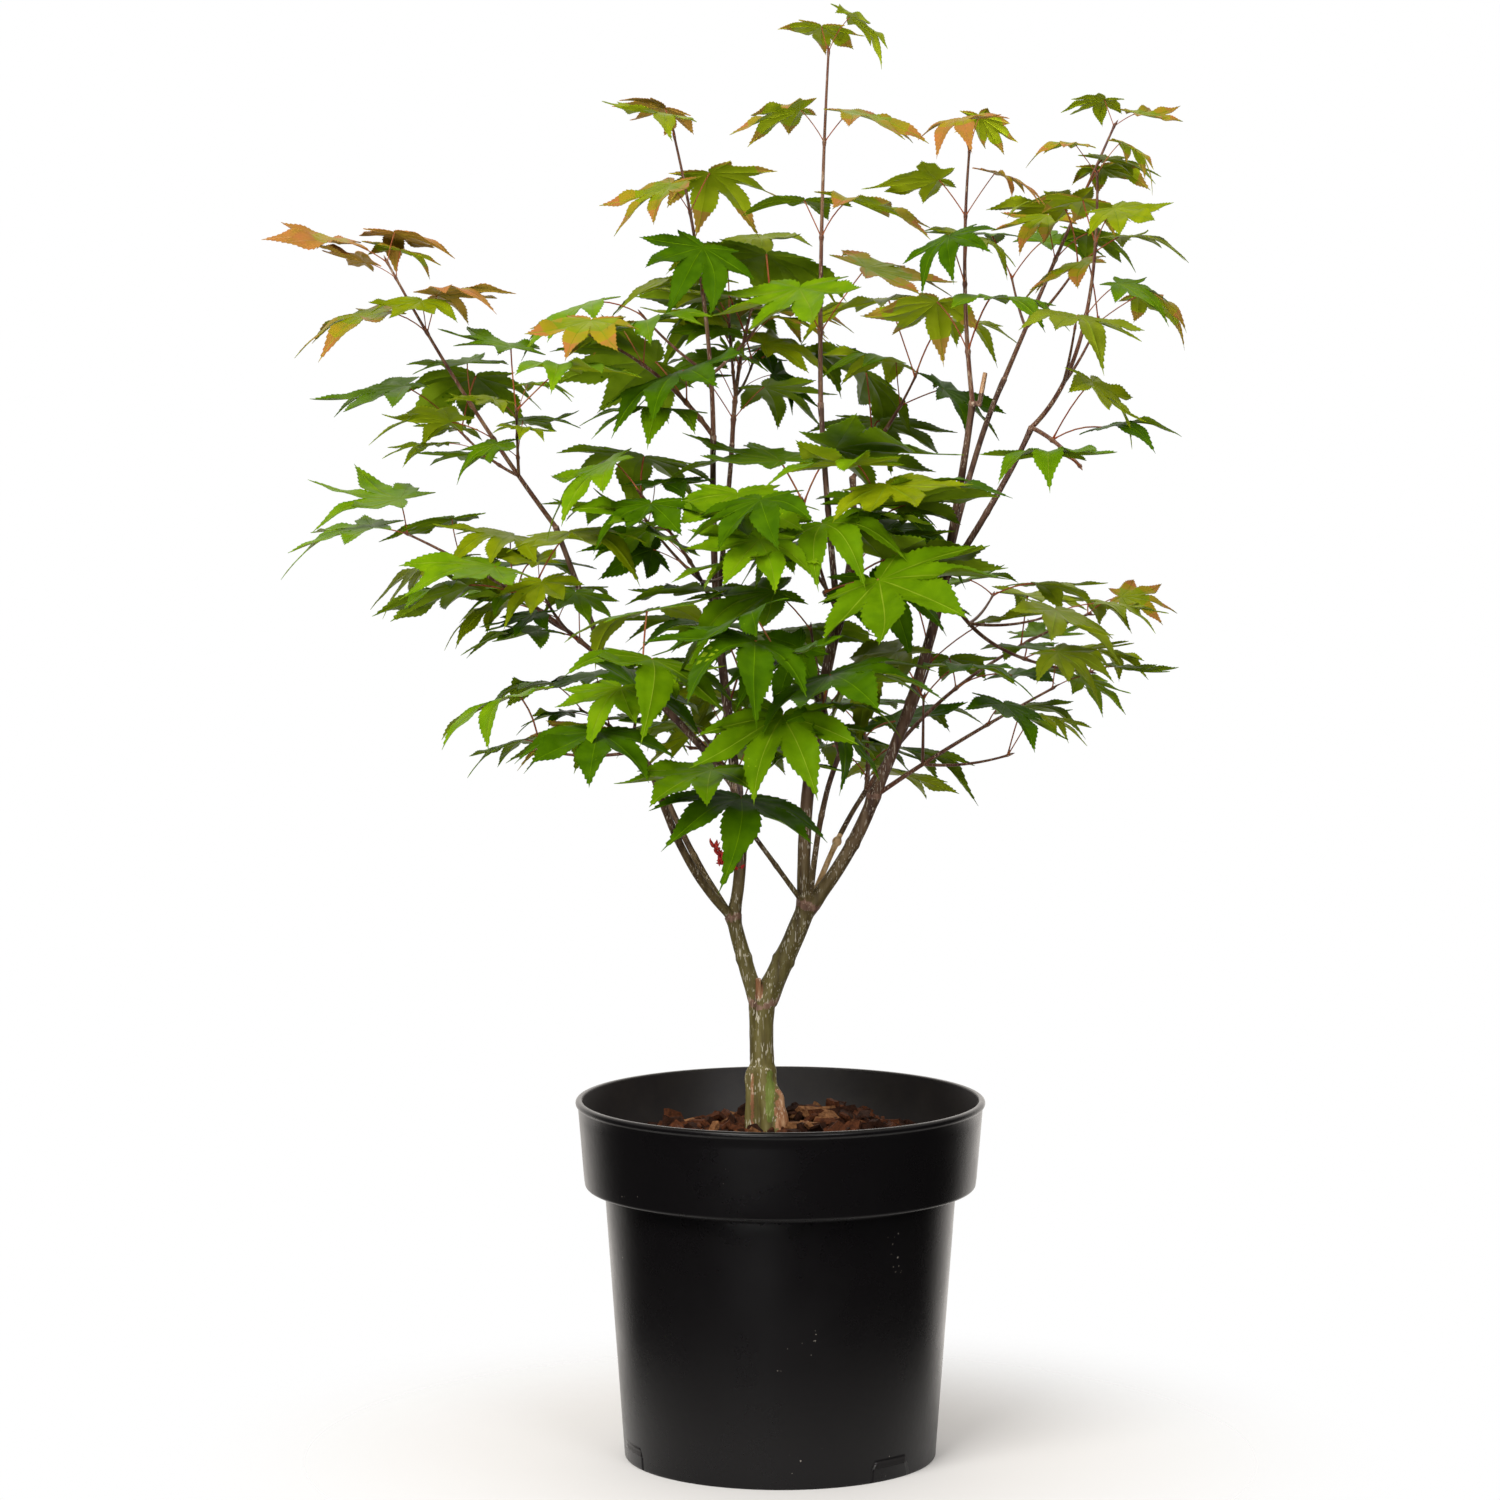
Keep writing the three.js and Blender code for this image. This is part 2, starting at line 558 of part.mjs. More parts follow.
// One leaf, on a stalk from a twig's axis. All its random numbers are drawn before anything is
// tested, so each leaf has the same ones whatever is near it.
function growLeaf(mass, place, turn, size, stalkLength) {
  const origin = place.curve.getPointAt(place.share);
  const axis = place.curve.getTangentAt(place.share);
  const draws = Array.from({ length: TRIES }, () => Array.from({ length: 5 }, mass.random));
  for (const [swing, reach, hang, tilt, droop] of draws) {
    const heading = leaving(axis, turn + deg(2 * SHOOT.jitter) * (2 * swing - 1), deg(STALK.spread));
    heading.z = Math.max(heading.z, SHOOT.lowest) + STALK.rise;
    heading.normalize();
    const length = stalkLength * mix(1 - STALK.lengthSpread, 1 + STALK.lengthSpread, reach);
    const joint = origin.clone().addScaledVector(heading, length);
    const outward = vec([joint.x, joint.y, 0]).normalize().multiplyScalar(BLADE.outward);
    const midrib = vec([heading.x, heading.y, 0]).normalize().add(outward).normalize();
    midrib.setZ(mix(...HANG[mass.hang], hang)).normalize();
    const level = new THREE.Vector3().crossVectors(UP, midrib).normalize();
    const across = level.applyAxisAngle(midrib, deg(BLADE.roll) * (2 * tilt - 1));
    const facing = new THREE.Vector3().crossVectors(midrib, across);
    const placed = new THREE.Matrix4().makeBasis(midrib, across, facing).setPosition(joint);

    const farthest = joint.clone().addScaledVector(midrib, size);
    if (mass.line.every((point) => point.distanceTo(farthest) > SHOOT.reach)) continue;
    const cup = mix(...BLADE.cup, droop);
    const guard = leafSkin(ROOM.size * size, cup, BLADE.thickness + 2 * ROOM.thickness);
    const guardSolid = solidOf(guard.applyMatrix4(placed));
    if (touches(guardSolid, () => false)) continue;
    const stalk = limb(new THREE.LineCurve3(origin, joint), () => STALK.halfWidth + GAP, 3, 1);
    const stalkSolid = solidOf(stalk);
    const ownTwig = (other) => other.owner === mass.name && other.kind !== "blade";
    if (touches(stalkSolid, ownTwig)) continue;

    const root = origin.clone().addScaledVector(heading, STALK.rootOffset);
    root.applyMatrix4(placed.clone().invert());
    remember(guardSolid, mass.name, "blade");
    remember(stalkSolid, mass.name, "stalk");
    mass.solids.push(solidOf(leafSkin(size, cup, BLADE.thickness, root).applyMatrix4(placed)));
    return;
  }
}

// The shoot of a mass, from its bough's tip to its own.
function growShoot(mass, parent) {
  const tip = vec(mass.tip);
  const [foot, end] = SHOOT.radii;
  mass.curve = bentLine(startOf(parent, tip, foot), tip, vec(mass.bend));
  mass.line = mass.curve.getPoints(2 * SHOOT.steps);
  const radiusWith = (extra) => (s) => mix(foot, end, s) + extra;
  const shape = (extra) => solidOf(limb(mass.curve, radiusWith(extra), SHOOT.sides, SHOOT.steps));
  mass.guard = shape(GAP);
  mass.solids.push(shape(0));
  remember(mass.guard, mass.name, "twig");
}

// A side twig, which carries a pair of leaves at its tip.
function growTwig(mass, share, turn, length) {
  const origin = mass.curve.getPointAt(share);
  const heading = leaving(mass.curve.getTangentAt(share), turn, deg(SHOOT.twigSpread));
  heading.z = Math.max(heading.z, SHOOT.lowest) + SHOOT.twigRise;
  const tip = origin.clone().addScaledVector(heading.normalize(), length);
  const curve = bentLine(origin, tip, vec([0, 0, -SHOOT.twigSag * length]));
  const [foot, end] = SHOOT.twigRadii;
  const radiusWith = (extra) => (s) => mix(foot, end, s) + extra;
  const shape = (extra) => solidOf(limb(curve, radiusWith(extra), SHOOT.twigSides, SHOOT.twigSteps));
  const guard = shape(GAP);
  const pairTurn = mass.random() * Math.PI;
  if (touches(guard, (other) => other.owner === mass.name)) return;
  remember(guard, mass.name, "twig");
  mass.solids.push(shape(0));
  mass.places.push({ curve, share: SHOOT.pairShare, turn: pairTurn });
}

// The side twigs and leaf pairs of a mass, from the lowest up.
function growMass(mass) {
  const turn = mass.random() * 2 * Math.PI;
  for (let i = 0; i < mass.nodes; i++) {
    const along = (i + SHOOT.firstPair) / (mass.nodes - 1 + SHOOT.firstPair);
    const share = Math.min(SHOOT.lastShare, along);
    const around = turn + i * deg(SHOOT.quarterTurn) + deg(SHOOT.jitter) * (2 * mass.random() - 1);
    if (i < mass.twigs) {
      const length = SHOOT.twigLength * mix(1, SHOOT.twigTaper, share);
      for (const side of [0, Math.PI]) growTwig(mass, share, around + side, length);
    } else {
      mass.places.push({ curve: mass.curve, share, turn: around });
    }
  }
  mass.places.forEach((place, i) => {
    const share = i / Math.max(1, mass.places.length - 1);
    const stalk = mix(...STALK.length, share);
    for (const side of [0, Math.PI]) {
      const vary = mix(1 - BLADE.sizeSpread, 1 + BLADE.sizeSpread, mass.random());
      const size = vary * mix(...mass.leaf, share);
      growLeaf(mass, place, place.turn + side, size, stalk);
    }
  });
}

// ---------------------------------------------------------------- assembly

const FINISH = {
  plastic: { color: 0x141415, roughness: 0.42, metalness: 0 },
  compost: { color: 0x4a2c1c, roughness: 0.95, metalness: 0 },
  oldBark: { color: 0x4d5030, roughness: 0.7, metalness: 0 },
  youngBark: { color: 0x45302a, roughness: 0.6, metalness: 0 },
  leaf: { color: 0x3f7d1c, roughness: 0.5, metalness: 0 },
};
for (const name of Object.keys(FINISH)) FINISH[name] = new THREE.MeshStandardMaterial(FINISH[name]);

// A mesh whose own origin is where the piece stands or springs from.
function meshOf(name, solid, finish, origin = [0, 0, 0]) {
  const geometry = geometryOf(solid).translate(-origin[0], -origin[1], -origin[2]);
  const mesh = new THREE.Mesh(geometry, finish);
  mesh.name = name;
  mesh.position.set(...origin);
  return mesh;
}

const maple = new THREE.Group();
const container = new THREE.Group();
const wood = new THREE.Group();
const foliage = new THREE.Group();
maple.add(container, wood, foliage);

container.add(meshOf("pot", makePot(), FINISH.plastic));
container.add(meshOf("soil", makeSoil(), FINISH.compost));

// Each limb keeps a slightly larger copy of itself, which is cut out of the pieces that follow.
const limbs = { trunk: { tip: vec(TRUNK.tip), radius: TRUNK.forkRadius } };
const guards = [makeTrunk(GAP)];
remember(guards[0], "trunk", "limb");
wood.add(meshOf("trunk", makeTrunk(), FINISH.oldBark, [...TRUNK.footCentre, SOIL.topHeight + GAP]));

for (const bough of BOUGHS) {
  const name = `bough_${bough.name}`;
  const curve = boughLine(bough, limbs[bough.from]);
  const solid = largestBody(makeBough(curve, bough).subtract(wasm.Manifold.union(guards)));
  const guard = makeBough(curve, bough, GAP);
  limbs[bough.name] = { tip: vec(bough.tip), radius: bough.radii[1] };
  guards.push(guard);
  remember(guard, name, "limb");
  const finish = bough.radii[0] > THICK.radius ? FINISH.oldBark : FINISH.youngBark;
  wood.add(meshOf(name, solid, finish, curve.getPointAt(0).toArray()));
}

const masses = MASSES.map((mass) => ({
  ...mass,
  name: `leaves_${mass.name}`,
  random: seeded(mass.seed),
  solids: [],
  places: [],
}));
masses.forEach((mass) => growShoot(mass, limbs[mass.from]));
masses.forEach(growMass);
for (const mass of masses) {
  const solid = largestBody(wasm.Manifold.union(mass.solids).subtract(wasm.Manifold.union(guards)));
  foliage.add(meshOf(mass.name, solid, FINISH.leaf, limbs[mass.from].tip.toArray()));
  guards.push(mass.guard);
}

export default maple;
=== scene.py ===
# A young maple in a black nursery pot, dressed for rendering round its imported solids.
# Sizes are in millimetres, and each mesh is turned into metres as it is made.
import math

import bpy
import numpy as np
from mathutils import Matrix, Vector, noise
from mathutils.bvhtree import BVHTree


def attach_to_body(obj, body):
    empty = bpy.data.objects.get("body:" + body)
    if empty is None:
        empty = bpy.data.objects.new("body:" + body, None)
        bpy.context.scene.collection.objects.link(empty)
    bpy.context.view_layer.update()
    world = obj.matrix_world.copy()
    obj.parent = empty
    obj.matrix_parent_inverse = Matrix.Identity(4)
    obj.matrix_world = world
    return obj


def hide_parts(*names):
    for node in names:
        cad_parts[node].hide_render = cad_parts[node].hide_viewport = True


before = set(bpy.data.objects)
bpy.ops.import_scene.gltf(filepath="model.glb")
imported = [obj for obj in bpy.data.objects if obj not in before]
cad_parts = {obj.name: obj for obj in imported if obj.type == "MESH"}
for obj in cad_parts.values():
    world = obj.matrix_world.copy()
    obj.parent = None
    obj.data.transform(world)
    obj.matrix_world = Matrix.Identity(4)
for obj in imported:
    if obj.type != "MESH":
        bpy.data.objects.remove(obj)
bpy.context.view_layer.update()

MM = 0.001
MASK = 0xFFFFFFFF
UP = np.array((0.0, 0.0, 1.0))

# ------------------------------------------------------------------ sizes, as in the part's source

GAP = 0.3

POT = dict(
    height=238, rim_radius=135, lip_width=1.6, collar_radius=129, collar_bottom=180,
    body_radius=116, foot_radius=103, wall=2, floor_underside=10.5, floor_thickness=2.5,
    boss_radius=16, notch_angles=(-69, 44, 167.5), notch_width=31, drain_holes=6,
    drain_hole_radius=6, drain_circle=70,
)

SOIL = dict(edge_height=197, top_height=214, top_radius=34)

TRUNK = dict(
    foot_centre=(-6.5, 0), tip=(-12, 0, 303), lean=-2.5, foot_radius=11.5, neck_radius=8.7,
    fork_radius=9.6, flare_height=34, flare=4.2, buttresses=(20, 135, 205, 300), spur_height=42,
    spur_size=3.2, crotch_height=3.8, crotch_shrink=0.35, sides=16,
    rings=(0, 0.06, 0.14, 0.26, 0.4, 0.47, 0.52, 0.75, 0.9, 1),
)

THICK = dict(radius=4, sides=8, steps=6)
THIN = dict(sides=5, steps=5)
BUD_RING = dict(start=0.9, swell=0.2)

# name, parent, tip, bend, radii, and how far the foot is moved towards +X
BOUGHS = (
    ("left", "trunk", (-31, 4, 358), (-1, 0, 0), (5.3, 4.8), None),
    ("right", "trunk", (18, -4, 367), (0, 0, -1), (7.3, 6.5), None),
    ("low_left", "left", (-83, -50, 460), (-4, 0, -8), (3.1, 2.2), None),
    ("low_back", "left", (-82, 55, 447), (-2, 0, -3), (2.4, 1.9), None),
    ("left_upright", "left", (-29, 10, 443), (4, 0, 2), (4.1, 3.6), None),
    ("far_left", "left_upright", (-115, 28, 524), (-5, 0, 12), (2.7, 2.2), None),
    ("upper_left", "far_left", (-147, 10, 614), (1, 0, -2), (2.2, 1.8), None),
    ("left_centre", "left_upright", (-42, 30, 557), (0, 0, 0), (3.4, 2.8), None),
    ("left_top", "left_centre", (-44, 20, 673), (-1, 0, 3), (2.4, 1.9), None),
    ("left_inner", "left_centre", (-32, 95, 665), (1, 0, 5), (2, 1.6), None),
    ("centre", "right", (38, -8, 556), (-7, 0, -2), (4.5, 3.4), -2.5),
    ("leader", "centre", (26, 0, 695), (-1, 0, 2), (2.3, 1.8), None),
    ("centre_back", "centre", (48, 60, 644), (4, 0, 1), (2.8, 2), None),
    ("front", "right", (38, -60, 472), (-2, 0, 10), (2.2, 1.7), None),
    ("front_left", "right", (-22, -55, 425), (-6, 0, 8), (1.9, 1.5), None),
    ("back_low", "right", (57, 50, 436), (0, 0, 6), (2.1, 1.7), None),
    ("sweep", "right", (61, -12, 440), (4, 0, 0), (4.8, 4.2), 2.5),
    ("sweep_upper", "sweep", (106, -5, 580), (4, 0, -1), (3.9, 3.3), None),
    ("right_top", "sweep_upper", (123, -40, 697), (2, 0, 8), (2.9, 2.1), None),
    ("right_back", "sweep_upper", (149, 75, 709), (0, 0, 12), (2.3, 1.8), None),
    ("right_out", "sweep_upper", (162, -20, 680), (6, 0, 6), (2.4, 1.8), None),
)

# name, bough, tip, bend, pairs, how many of them are twigs, leaf sizes, hang, seed. The seeds and
# hangs, and some millimetres of the tips, come from a search for the photograph's outline.
MASSES = (
    ("low_left_front", "low_left", (-139, -105, 476), (-2, 0, 13), 3, 1, (82, 70), "low", 143),
    ("far_left", "far_left", (-247, 20, 610), (3, 0, 5), 4, 1, (70, 58), "level", 693),
    ("upper_left", "upper_left", (-256, -10, 789), (-2, 0, -4), 4, 1, (70, 48), "level", 998),
    ("left_back", "left_upright", (-89, 190, 492), (-1, 0, 12), 3, 1, (72, 60), "low", 236),
    ("left_side", "left_centre", (-91, -70, 641), (6, 0, -3), 3, 1, (74, 64), "low", 33),
    ("left_inner", "left_inner", (-11, 150, 778), (-4, 0, 5), 3, 1, (66, 50), "mid", 185),
    ("centre_back", "centre_back", (101, 120, 722), (-6, 0, -11), 3, 1, (70, 56), "low", 385),
    ("centre_front", "centre", (-9, -110, 611), (6, 0, 6), 3, 1, (78, 66), "mid", 491),
    ("centre_mid", "centre", (59, -70, 642), (2, 0, 6), 3, 0, (72, 62), "level", 211),
    ("front", "front", (-6, -160, 549), (4, 0, 5), 3, 1, (80, 68), "low", 483),
    ("front_low", "front_left", (-29, -130, 465), (0, 0, 0), 2, 0, (74, 66), "mid", 495),
    ("back_low", "back_low", (53, 150, 479), (4, 0, 4), 3, 0, (72, 62), "level", 327),
    ("low_right", "sweep", (176, -60, 515), (-4, 0, 0), 3, 1, (68, 56), "mid", 815),
    ("right_low", "sweep_upper", (209, 70, 514), (-16, 0, -12), 3, 1, (68, 58), "level", 740),
    ("right_back", "back_low", (217, 200, 545), (-16, 0, 9), 4, 1, (70, 58), "level", 580),
    ("right_top", "right_top", (120, -50, 859), (-4, 0, -1), 4, 0, (70, 46), "mid", 286),
    ("left_top", "left_top", (-70, 20, 871), (6, 0, -4), 4, 1, (70, 44), "mid", 579),
    ("right_back_top", "right_back", (226, 130, 880), (-4, 0, -8), 4, 1, (66, 46), "level", 394),
    ("right_side", "right_out", (203, -130, 638), (0, 0, 6), 3, 0, (74, 64), "low", 338),
    ("right_outer", "right_out", (202, -40, 845), (12, 0, -20), 4, 1, (68, 46), "low", 999),
    ("left_upper", "left_top", (-121, -40, 739), (4, 0, 6), 3, 0, (70, 60), "low", 749),
    ("low_left_back", "low_back", (-135, 140, 482), (0, 0, 6), 3, 0, (74, 62), "low", 284),
    ("leader", "leader", (31, 5, 925), (-2, 0, -2), 4, 0, (68, 42), "level", 948),
)

HANG = dict(level=(-0.5, 0.15), mid=(-0.8, -0.1), low=(-1.2, -0.4))

SHOOT = dict(
    radii=(1.9, 1.2), twig_radii=(1.5, 1.2), sides=4, steps=4, twig_length=66, twig_taper=0.7,
    twig_spread=52, twig_rise=0.15, twig_sag=0.05, twig_sides=3, twig_steps=2, lowest=-0.1,
    first_pair=0.75, last_share=0.985, pair_share=0.96, quarter_turn=90, jitter=24, reach=165,
)
STALK = dict(half_width=0.6, length=(44, 24), length_spread=0.25, spread=50, rise=0.3)
BLADE = dict(
    sinus=0.34, heel=0.06, thickness=1.3, size_spread=0.15, roll=18, cup=(0.14, 0.38),
    droop_power=1.6, outward=0.35, widest_at=0.52,
)
LOBES = ((0, 1, 0.17), (37, 0.93, 0.165), (76, 0.72, 0), (122, 0.42, 0))
ROOM = dict(size=1.03, thickness=1.6)
TRIES = 5

# ------------------------------------------------------------------ shared helpers


def seeded(seed):
    """A repeatable stream of numbers from 0 to 1, the same one as in the part's source."""
    state = seed

    def draw():
        nonlocal state
        state = (state + 0x6D2B79F5) & MASK
        t = ((state ^ (state >> 15)) * (1 | state)) & MASK
        t = ((t + ((t ^ (t >> 7)) * (61 | t) & MASK)) & MASK) ^ t
        return (t ^ (t >> 14)) / (MASK + 1)

    return draw


def mix(a, b, share):
    """From a to b by a share of 0 to 1."""
    return a + (b - a) * share


def smooth(low, high, value):
    """From 0 at low to 1 at high, level at both ends."""
    share = np.clip((value - low) / (high - low), 0, 1)
    return share * share * (3 - 2 * share)


def vec(*numbers):
    return np.array(numbers, float)


def unit(v):
    return v / math.sqrt(v @ v)


def cross(a, b):
    return np.array((a[1] * b[2] - a[2] * b[1], a[2] * b[0] - a[0] * b[2], a[0] * b[1] - a[1] * b[0]))


class Bent:
    """The curved line from start to tip whose middle is off the straight one by bend. Places on it
    are shares of its length."""

    def __init__(self, start, tip, bend=(0, 0, 0)):
        start, tip = np.array(start, float), np.array(tip, float)
        self.ends = start, (start + tip) / 2 + 2 * np.array(bend, float), tip
        self.times = np.linspace(0, 1, 201)
        steps = np.linalg.norm(np.diff(self.raw(self.times), axis=0), axis=1)
        run = np.concatenate(([0], np.cumsum(steps)))
        self.length = run[-1]
        self.shares = run / run[-1]

    def raw(self, t):
        a, b, c = self.ends
        t = np.asarray(t)[..., None]
        return (1 - t) ** 2 * a + 2 * t * (1 - t) * b + t**2 * c

    def at(self, share):
        return self.raw(np.interp(share, self.shares, self.times))

    def tangent(self, share):
        a, b, c = self.ends
        t = np.interp(share, self.shares, self.times)
        return unit((1 - t) * (b - a) + t * (c - b))

    def frames(self, shares):
        """Two directions across the line at each share, carried along it without twisting."""
        tangents = [self.tangent(s) for s in shares]
        least = np.argmin(np.abs(tangents[0][::-1]))
        side = np.eye(3)[2 - least]
        normal = cross(tangents[0], unit(cross(tangents[0], side)))
        found = [(normal, cross(tangents[0], normal))]
        for before, now in zip(tangents, tangents[1:]):
            axis = cross(before, now)
            size = math.sqrt(axis @ axis)
            if size > 1e-12:
                axis = axis / size
                turn = math.atan2(size, before @ now)
                normal = (
                    normal * math.cos(turn)
                    + cross(axis, normal) * math.sin(turn)
                    + axis * (axis @ normal) * (1 - math.cos(turn))
                )
            found.append((normal, cross(now, normal)))
        return found


def loft(rings):
    """A closed skin over rings of points: its corners and its faces."""
    rings = np.asarray(rings, float)
    rows, count = rings.shape[:2]
    i = np.arange(count)
    j = (i + 1) % count
    faces = []
    for r in range(rows - 1):
        a = r * count
        faces += np.stack((a + i, a + j, a + count + j, a + count + i), 1).tolist()
    last = (rows - 1) * count
    faces.append(list(range(count - 1, -1, -1)))
    faces.append(list(range(last, last + count)))
    return rings.reshape(-1, 3), faces


def limb(curve, radius_at, sides, shares):
    """A round limb along a curve. radius_at gives its radius at a share and, for a relief, at the
    turns round it."""
    turns = np.arange(sides) * (2 * math.pi / sides)
    rings = []
    for share, (normal, other) in zip(shares, curve.frames(shares)):
        radius = np.broadcast_to(radius_at(share, turns), sides)[:, None]
        around = np.cos(turns)[:, None] * normal + np.sin(turns)[:, None] * other
        rings.append(curve.at(share) + radius * around)
    return loft(rings)


def even(steps):
    """Shares from 0 to 1 in even steps."""
    return np.linspace(0, 1, steps + 1)


class Heap:
    """Corners and faces of many small things that are joined into one mesh."""

    def __init__(self):
        self.corners, self.faces, self.kinds, self.count = [], [], [], 0

    def add(self, corners, faces, kinds=0):
        """Takes one thing. kinds is its faces' material index, or one for each face."""
        start = self.count
        self.corners.append(corners)
        self.faces += [[start + i for i in face] for face in faces]
        self.kinds += [kinds] * len(faces) if isinstance(kinds, int) else list(kinds)
        self.count += len(corners)


def mesh_object(name, heap, materials, crease=40):
    """The heap as one mesh object in metres, smooth but for edges sharper than crease degrees."""
    mesh = bpy.data.meshes.new(name)
    mesh.from_pydata((np.concatenate(heap.corners) * MM).tolist(), [], heap.faces)
    for material in materials:
        mesh.materials.append(material)
    mesh.polygons.foreach_set("material_index", heap.kinds)
    mesh.polygons.foreach_set("use_smooth", [True] * len(mesh.polygons))
    mesh.set_sharp_from_angle(angle=math.radians(crease))
    mesh.validate()
    mesh.update()
    made = bpy.data.objects.new(name, mesh)
    bpy.context.scene.collection.objects.link(made)
    return made


def attach(piece, slot, *nodes):
    """The piece rides on the one body and stands for CAD nodes. Its slot is not used."""
    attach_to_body(piece, "root")
    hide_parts(*nodes)
    return piece


# ------------------------------------------------------------------ materials


def feed(tree, value, socket):
    """The socket takes a value, or another node's output."""
    if isinstance(value, bpy.types.NodeSocket):
        tree.links.new(value, socket)
    else:
        socket.default_value = value


def node(tree, kind, inputs=(), **settings):
    """A new shader node. inputs are pairs of a socket, by name or number, and what feeds it."""
    made = tree.nodes.new("ShaderNode" + kind)
    for name, value in settings.items():
        setattr(made, name, value)
    for socket, value in inputs:
        feed(tree, value, made.inputs[socket])
    return made


def new_material(name, colour, roughness, gloss=0.5):
    """A Principled material, its tree, and its shader node."""
    material = bpy.data.materials.new(name)
    material.use_nodes = True
    material.diffuse_color = (*colour, 1)
    shader = material.node_tree.nodes["Principled BSDF"]
    shader.inputs["Base Color"].default_value = (*colour, 1)
    shader.inputs["Roughness"].default_value = roughness
    shader.inputs["Specular IOR Level"].default_value = gloss
    return material, material.node_tree, shader


def noise_of(tree, scale, detail=3, stretch=(1, 1, 1), roughness=0.5):
    """Noise in the object's own coordinates: scale is in waves per metre."""
    place = node(tree, "TexCoord").outputs["Object"]
    mapping = node(tree, "Mapping", [("Vector", place), ("Scale", stretch)])
    inputs = [("Vector", mapping.outputs["Vector"]), ("Scale", scale)]
    return node(tree, "TexNoise", inputs + [("Detail", detail), ("Roughness", roughness)]).outputs["Fac"]


def ramp(tree, value, stops):
    """Colours or greys by a value. stops are (position, colour) pairs."""
    made = node(tree, "ValToRGB", [("Fac", value)])
    elements = made.color_ramp.elements
    while len(elements) < len(stops):
        elements.new(0.5)
    for element, (position, colour) in zip(elements, stops):
        element.position = position
        element.color = (*colour, 1) if isinstance(colour, tuple) else (colour, colour, colour, 1)
    return made.outputs["Color"]


def bump(tree, shader, height, distance, strength=1.0):
    """Fine relief on a shader: distance is in metres."""
    made = node(tree, "Bump", [("Distance", distance), ("Strength", strength), ("Height", height)])
    feed(tree, made.outputs["Normal"], shader.inputs["Normal"])


def eased(tree, value, read, give):
    """A value mapped smoothly from one range to another, and held at its ends."""
    ends = zip(("From Min", "From Max", "To Min", "To Max"), (*read, *give))
    made = node(tree, "MapRange", [("Value", value), *ends], interpolation_type="SMOOTHSTEP")
    return made.outputs["Result"]


def combined(tree, operation, first, second):
    """Two outputs worked out together by a Math node."""
    return node(tree, "Math", [(0, first), (1, second)], operation=operation).outputs[0]


def leaf_material(name, colour, other, roughness=0.42):
    """A blade: two close shades in soft patches, a satin face, and fine puckering."""
    material, tree, shader = new_material(name, colour, roughness, gloss=0.02)
    shade = ramp(tree, noise_of(tree, 90, 3), [(0.32, colour), (0.68, other)])
    feed(tree, shade, shader.inputs["Base Color"])
    bump(tree, shader, noise_of(tree, 150, 1), 0.0008, 0.4)
    shader.inputs["Specular Tint"].default_value = (0.85, 1, 0.5, 1)
    return material


def blended(tree, share, first, second):
    """The first colour where share is 0 and the second where it is 1. Each may be an output."""
    first, second = (c if isinstance(c, bpy.types.NodeSocket) else (*c, 1) for c in (first, second))
    made = node(tree, "Mix", data_type="RGBA")
    for socket, value in (("Factor", share), ("A", first), ("B", second)):
        feed(tree, value, made.inputs[socket])
    return made.outputs["Result"]


def streaked(tree, dark, middle, light, flecks):
    """Smooth bark: lengthwise streaks of three shades, and thin pale flecks in loose clusters."""
    streaks = noise_of(tree, 260, 3, stretch=(1, 1, 0.12))
    shade = ramp(tree, streaks, [(0.3, dark), (0.5, middle), (0.72, light)])
    spots = ramp(tree, noise_of(tree, 1100, 1, stretch=(1, 1, 0.16)), [(0.61, 0.0), (0.64, 1.0)])
    clusters = ramp(tree, noise_of(tree, 60, 2), [(0.42, 0.0), (0.52, 1.0)])
    return blended(tree, combined(tree, "MULTIPLY", spots, clusters), shade, flecks)


def bark_material(name, shades, roughness=0.6, upper=None, relief=0.5):
    """Bark in its own shades, or, where upper shades are given, changing to them with height."""
    material, tree, shader = new_material(name, shades[1], roughness, gloss=0.3)
    shade = streaked(tree, *shades)
    if upper:
        place = node(tree, "TexCoord").outputs["Object"]
        height = node(tree, "SeparateXYZ", [("Vector", place)]).outputs["Z"]
        shade = blended(tree, eased(tree, height, (0.29, 0.48), (0, 1)), shade, streaked(tree, *upper))
    feed(tree, shade, shader.inputs["Base Color"])
    bump(tree, shader, noise_of(tree, 700, 3, stretch=(1, 1, 0.3)), 0.0006, relief)
    return material


def dust_and_sheen_material():
    """The pot's inside wall: the same plastic, dulled by a film of dust and lightened, partly by that dust
    and partly as a painted sheen of light.
    """
    material, tree, shader = new_material("pot_inside", (0.012, 0.009, 0.009), 0.5)
    shades = [(0.35, (0.008, 0.006, 0.007)), (0.75, (0.020, 0.016, 0.014))]
    dust_and_sheen = ramp(tree, noise_of(tree, 40, 5, roughness=0.7), shades)
    feed(tree, dust_and_sheen, shader.inputs["Base Color"])
    return material


def plastic_material():
    """Black moulded polypropylene: satin, faintly uneven, with a few specks of pale dust."""
    black = (0.0045, 0.004, 0.0045)
    material, tree, shader = new_material("pot_plastic", black, 0.3, gloss=0.24)
    haze = ramp(tree, noise_of(tree, 14, 5, roughness=0.65), [(0.35, 0.24), (0.7, 0.36)])
    feed(tree, haze, shader.inputs["Roughness"])
    dust = combined(tree, "MULTIPLY", noise_of(tree, 420, 1), noise_of(tree, 30, 2))
    shade = ramp(tree, dust, [(0.5, black), (0.515, (0.25, 0.23, 0.2))])
    feed(tree, shade, shader.inputs["Base Color"])
    bump(tree, shader, noise_of(tree, 240, 4), 0.0002, 0.35)
    return material


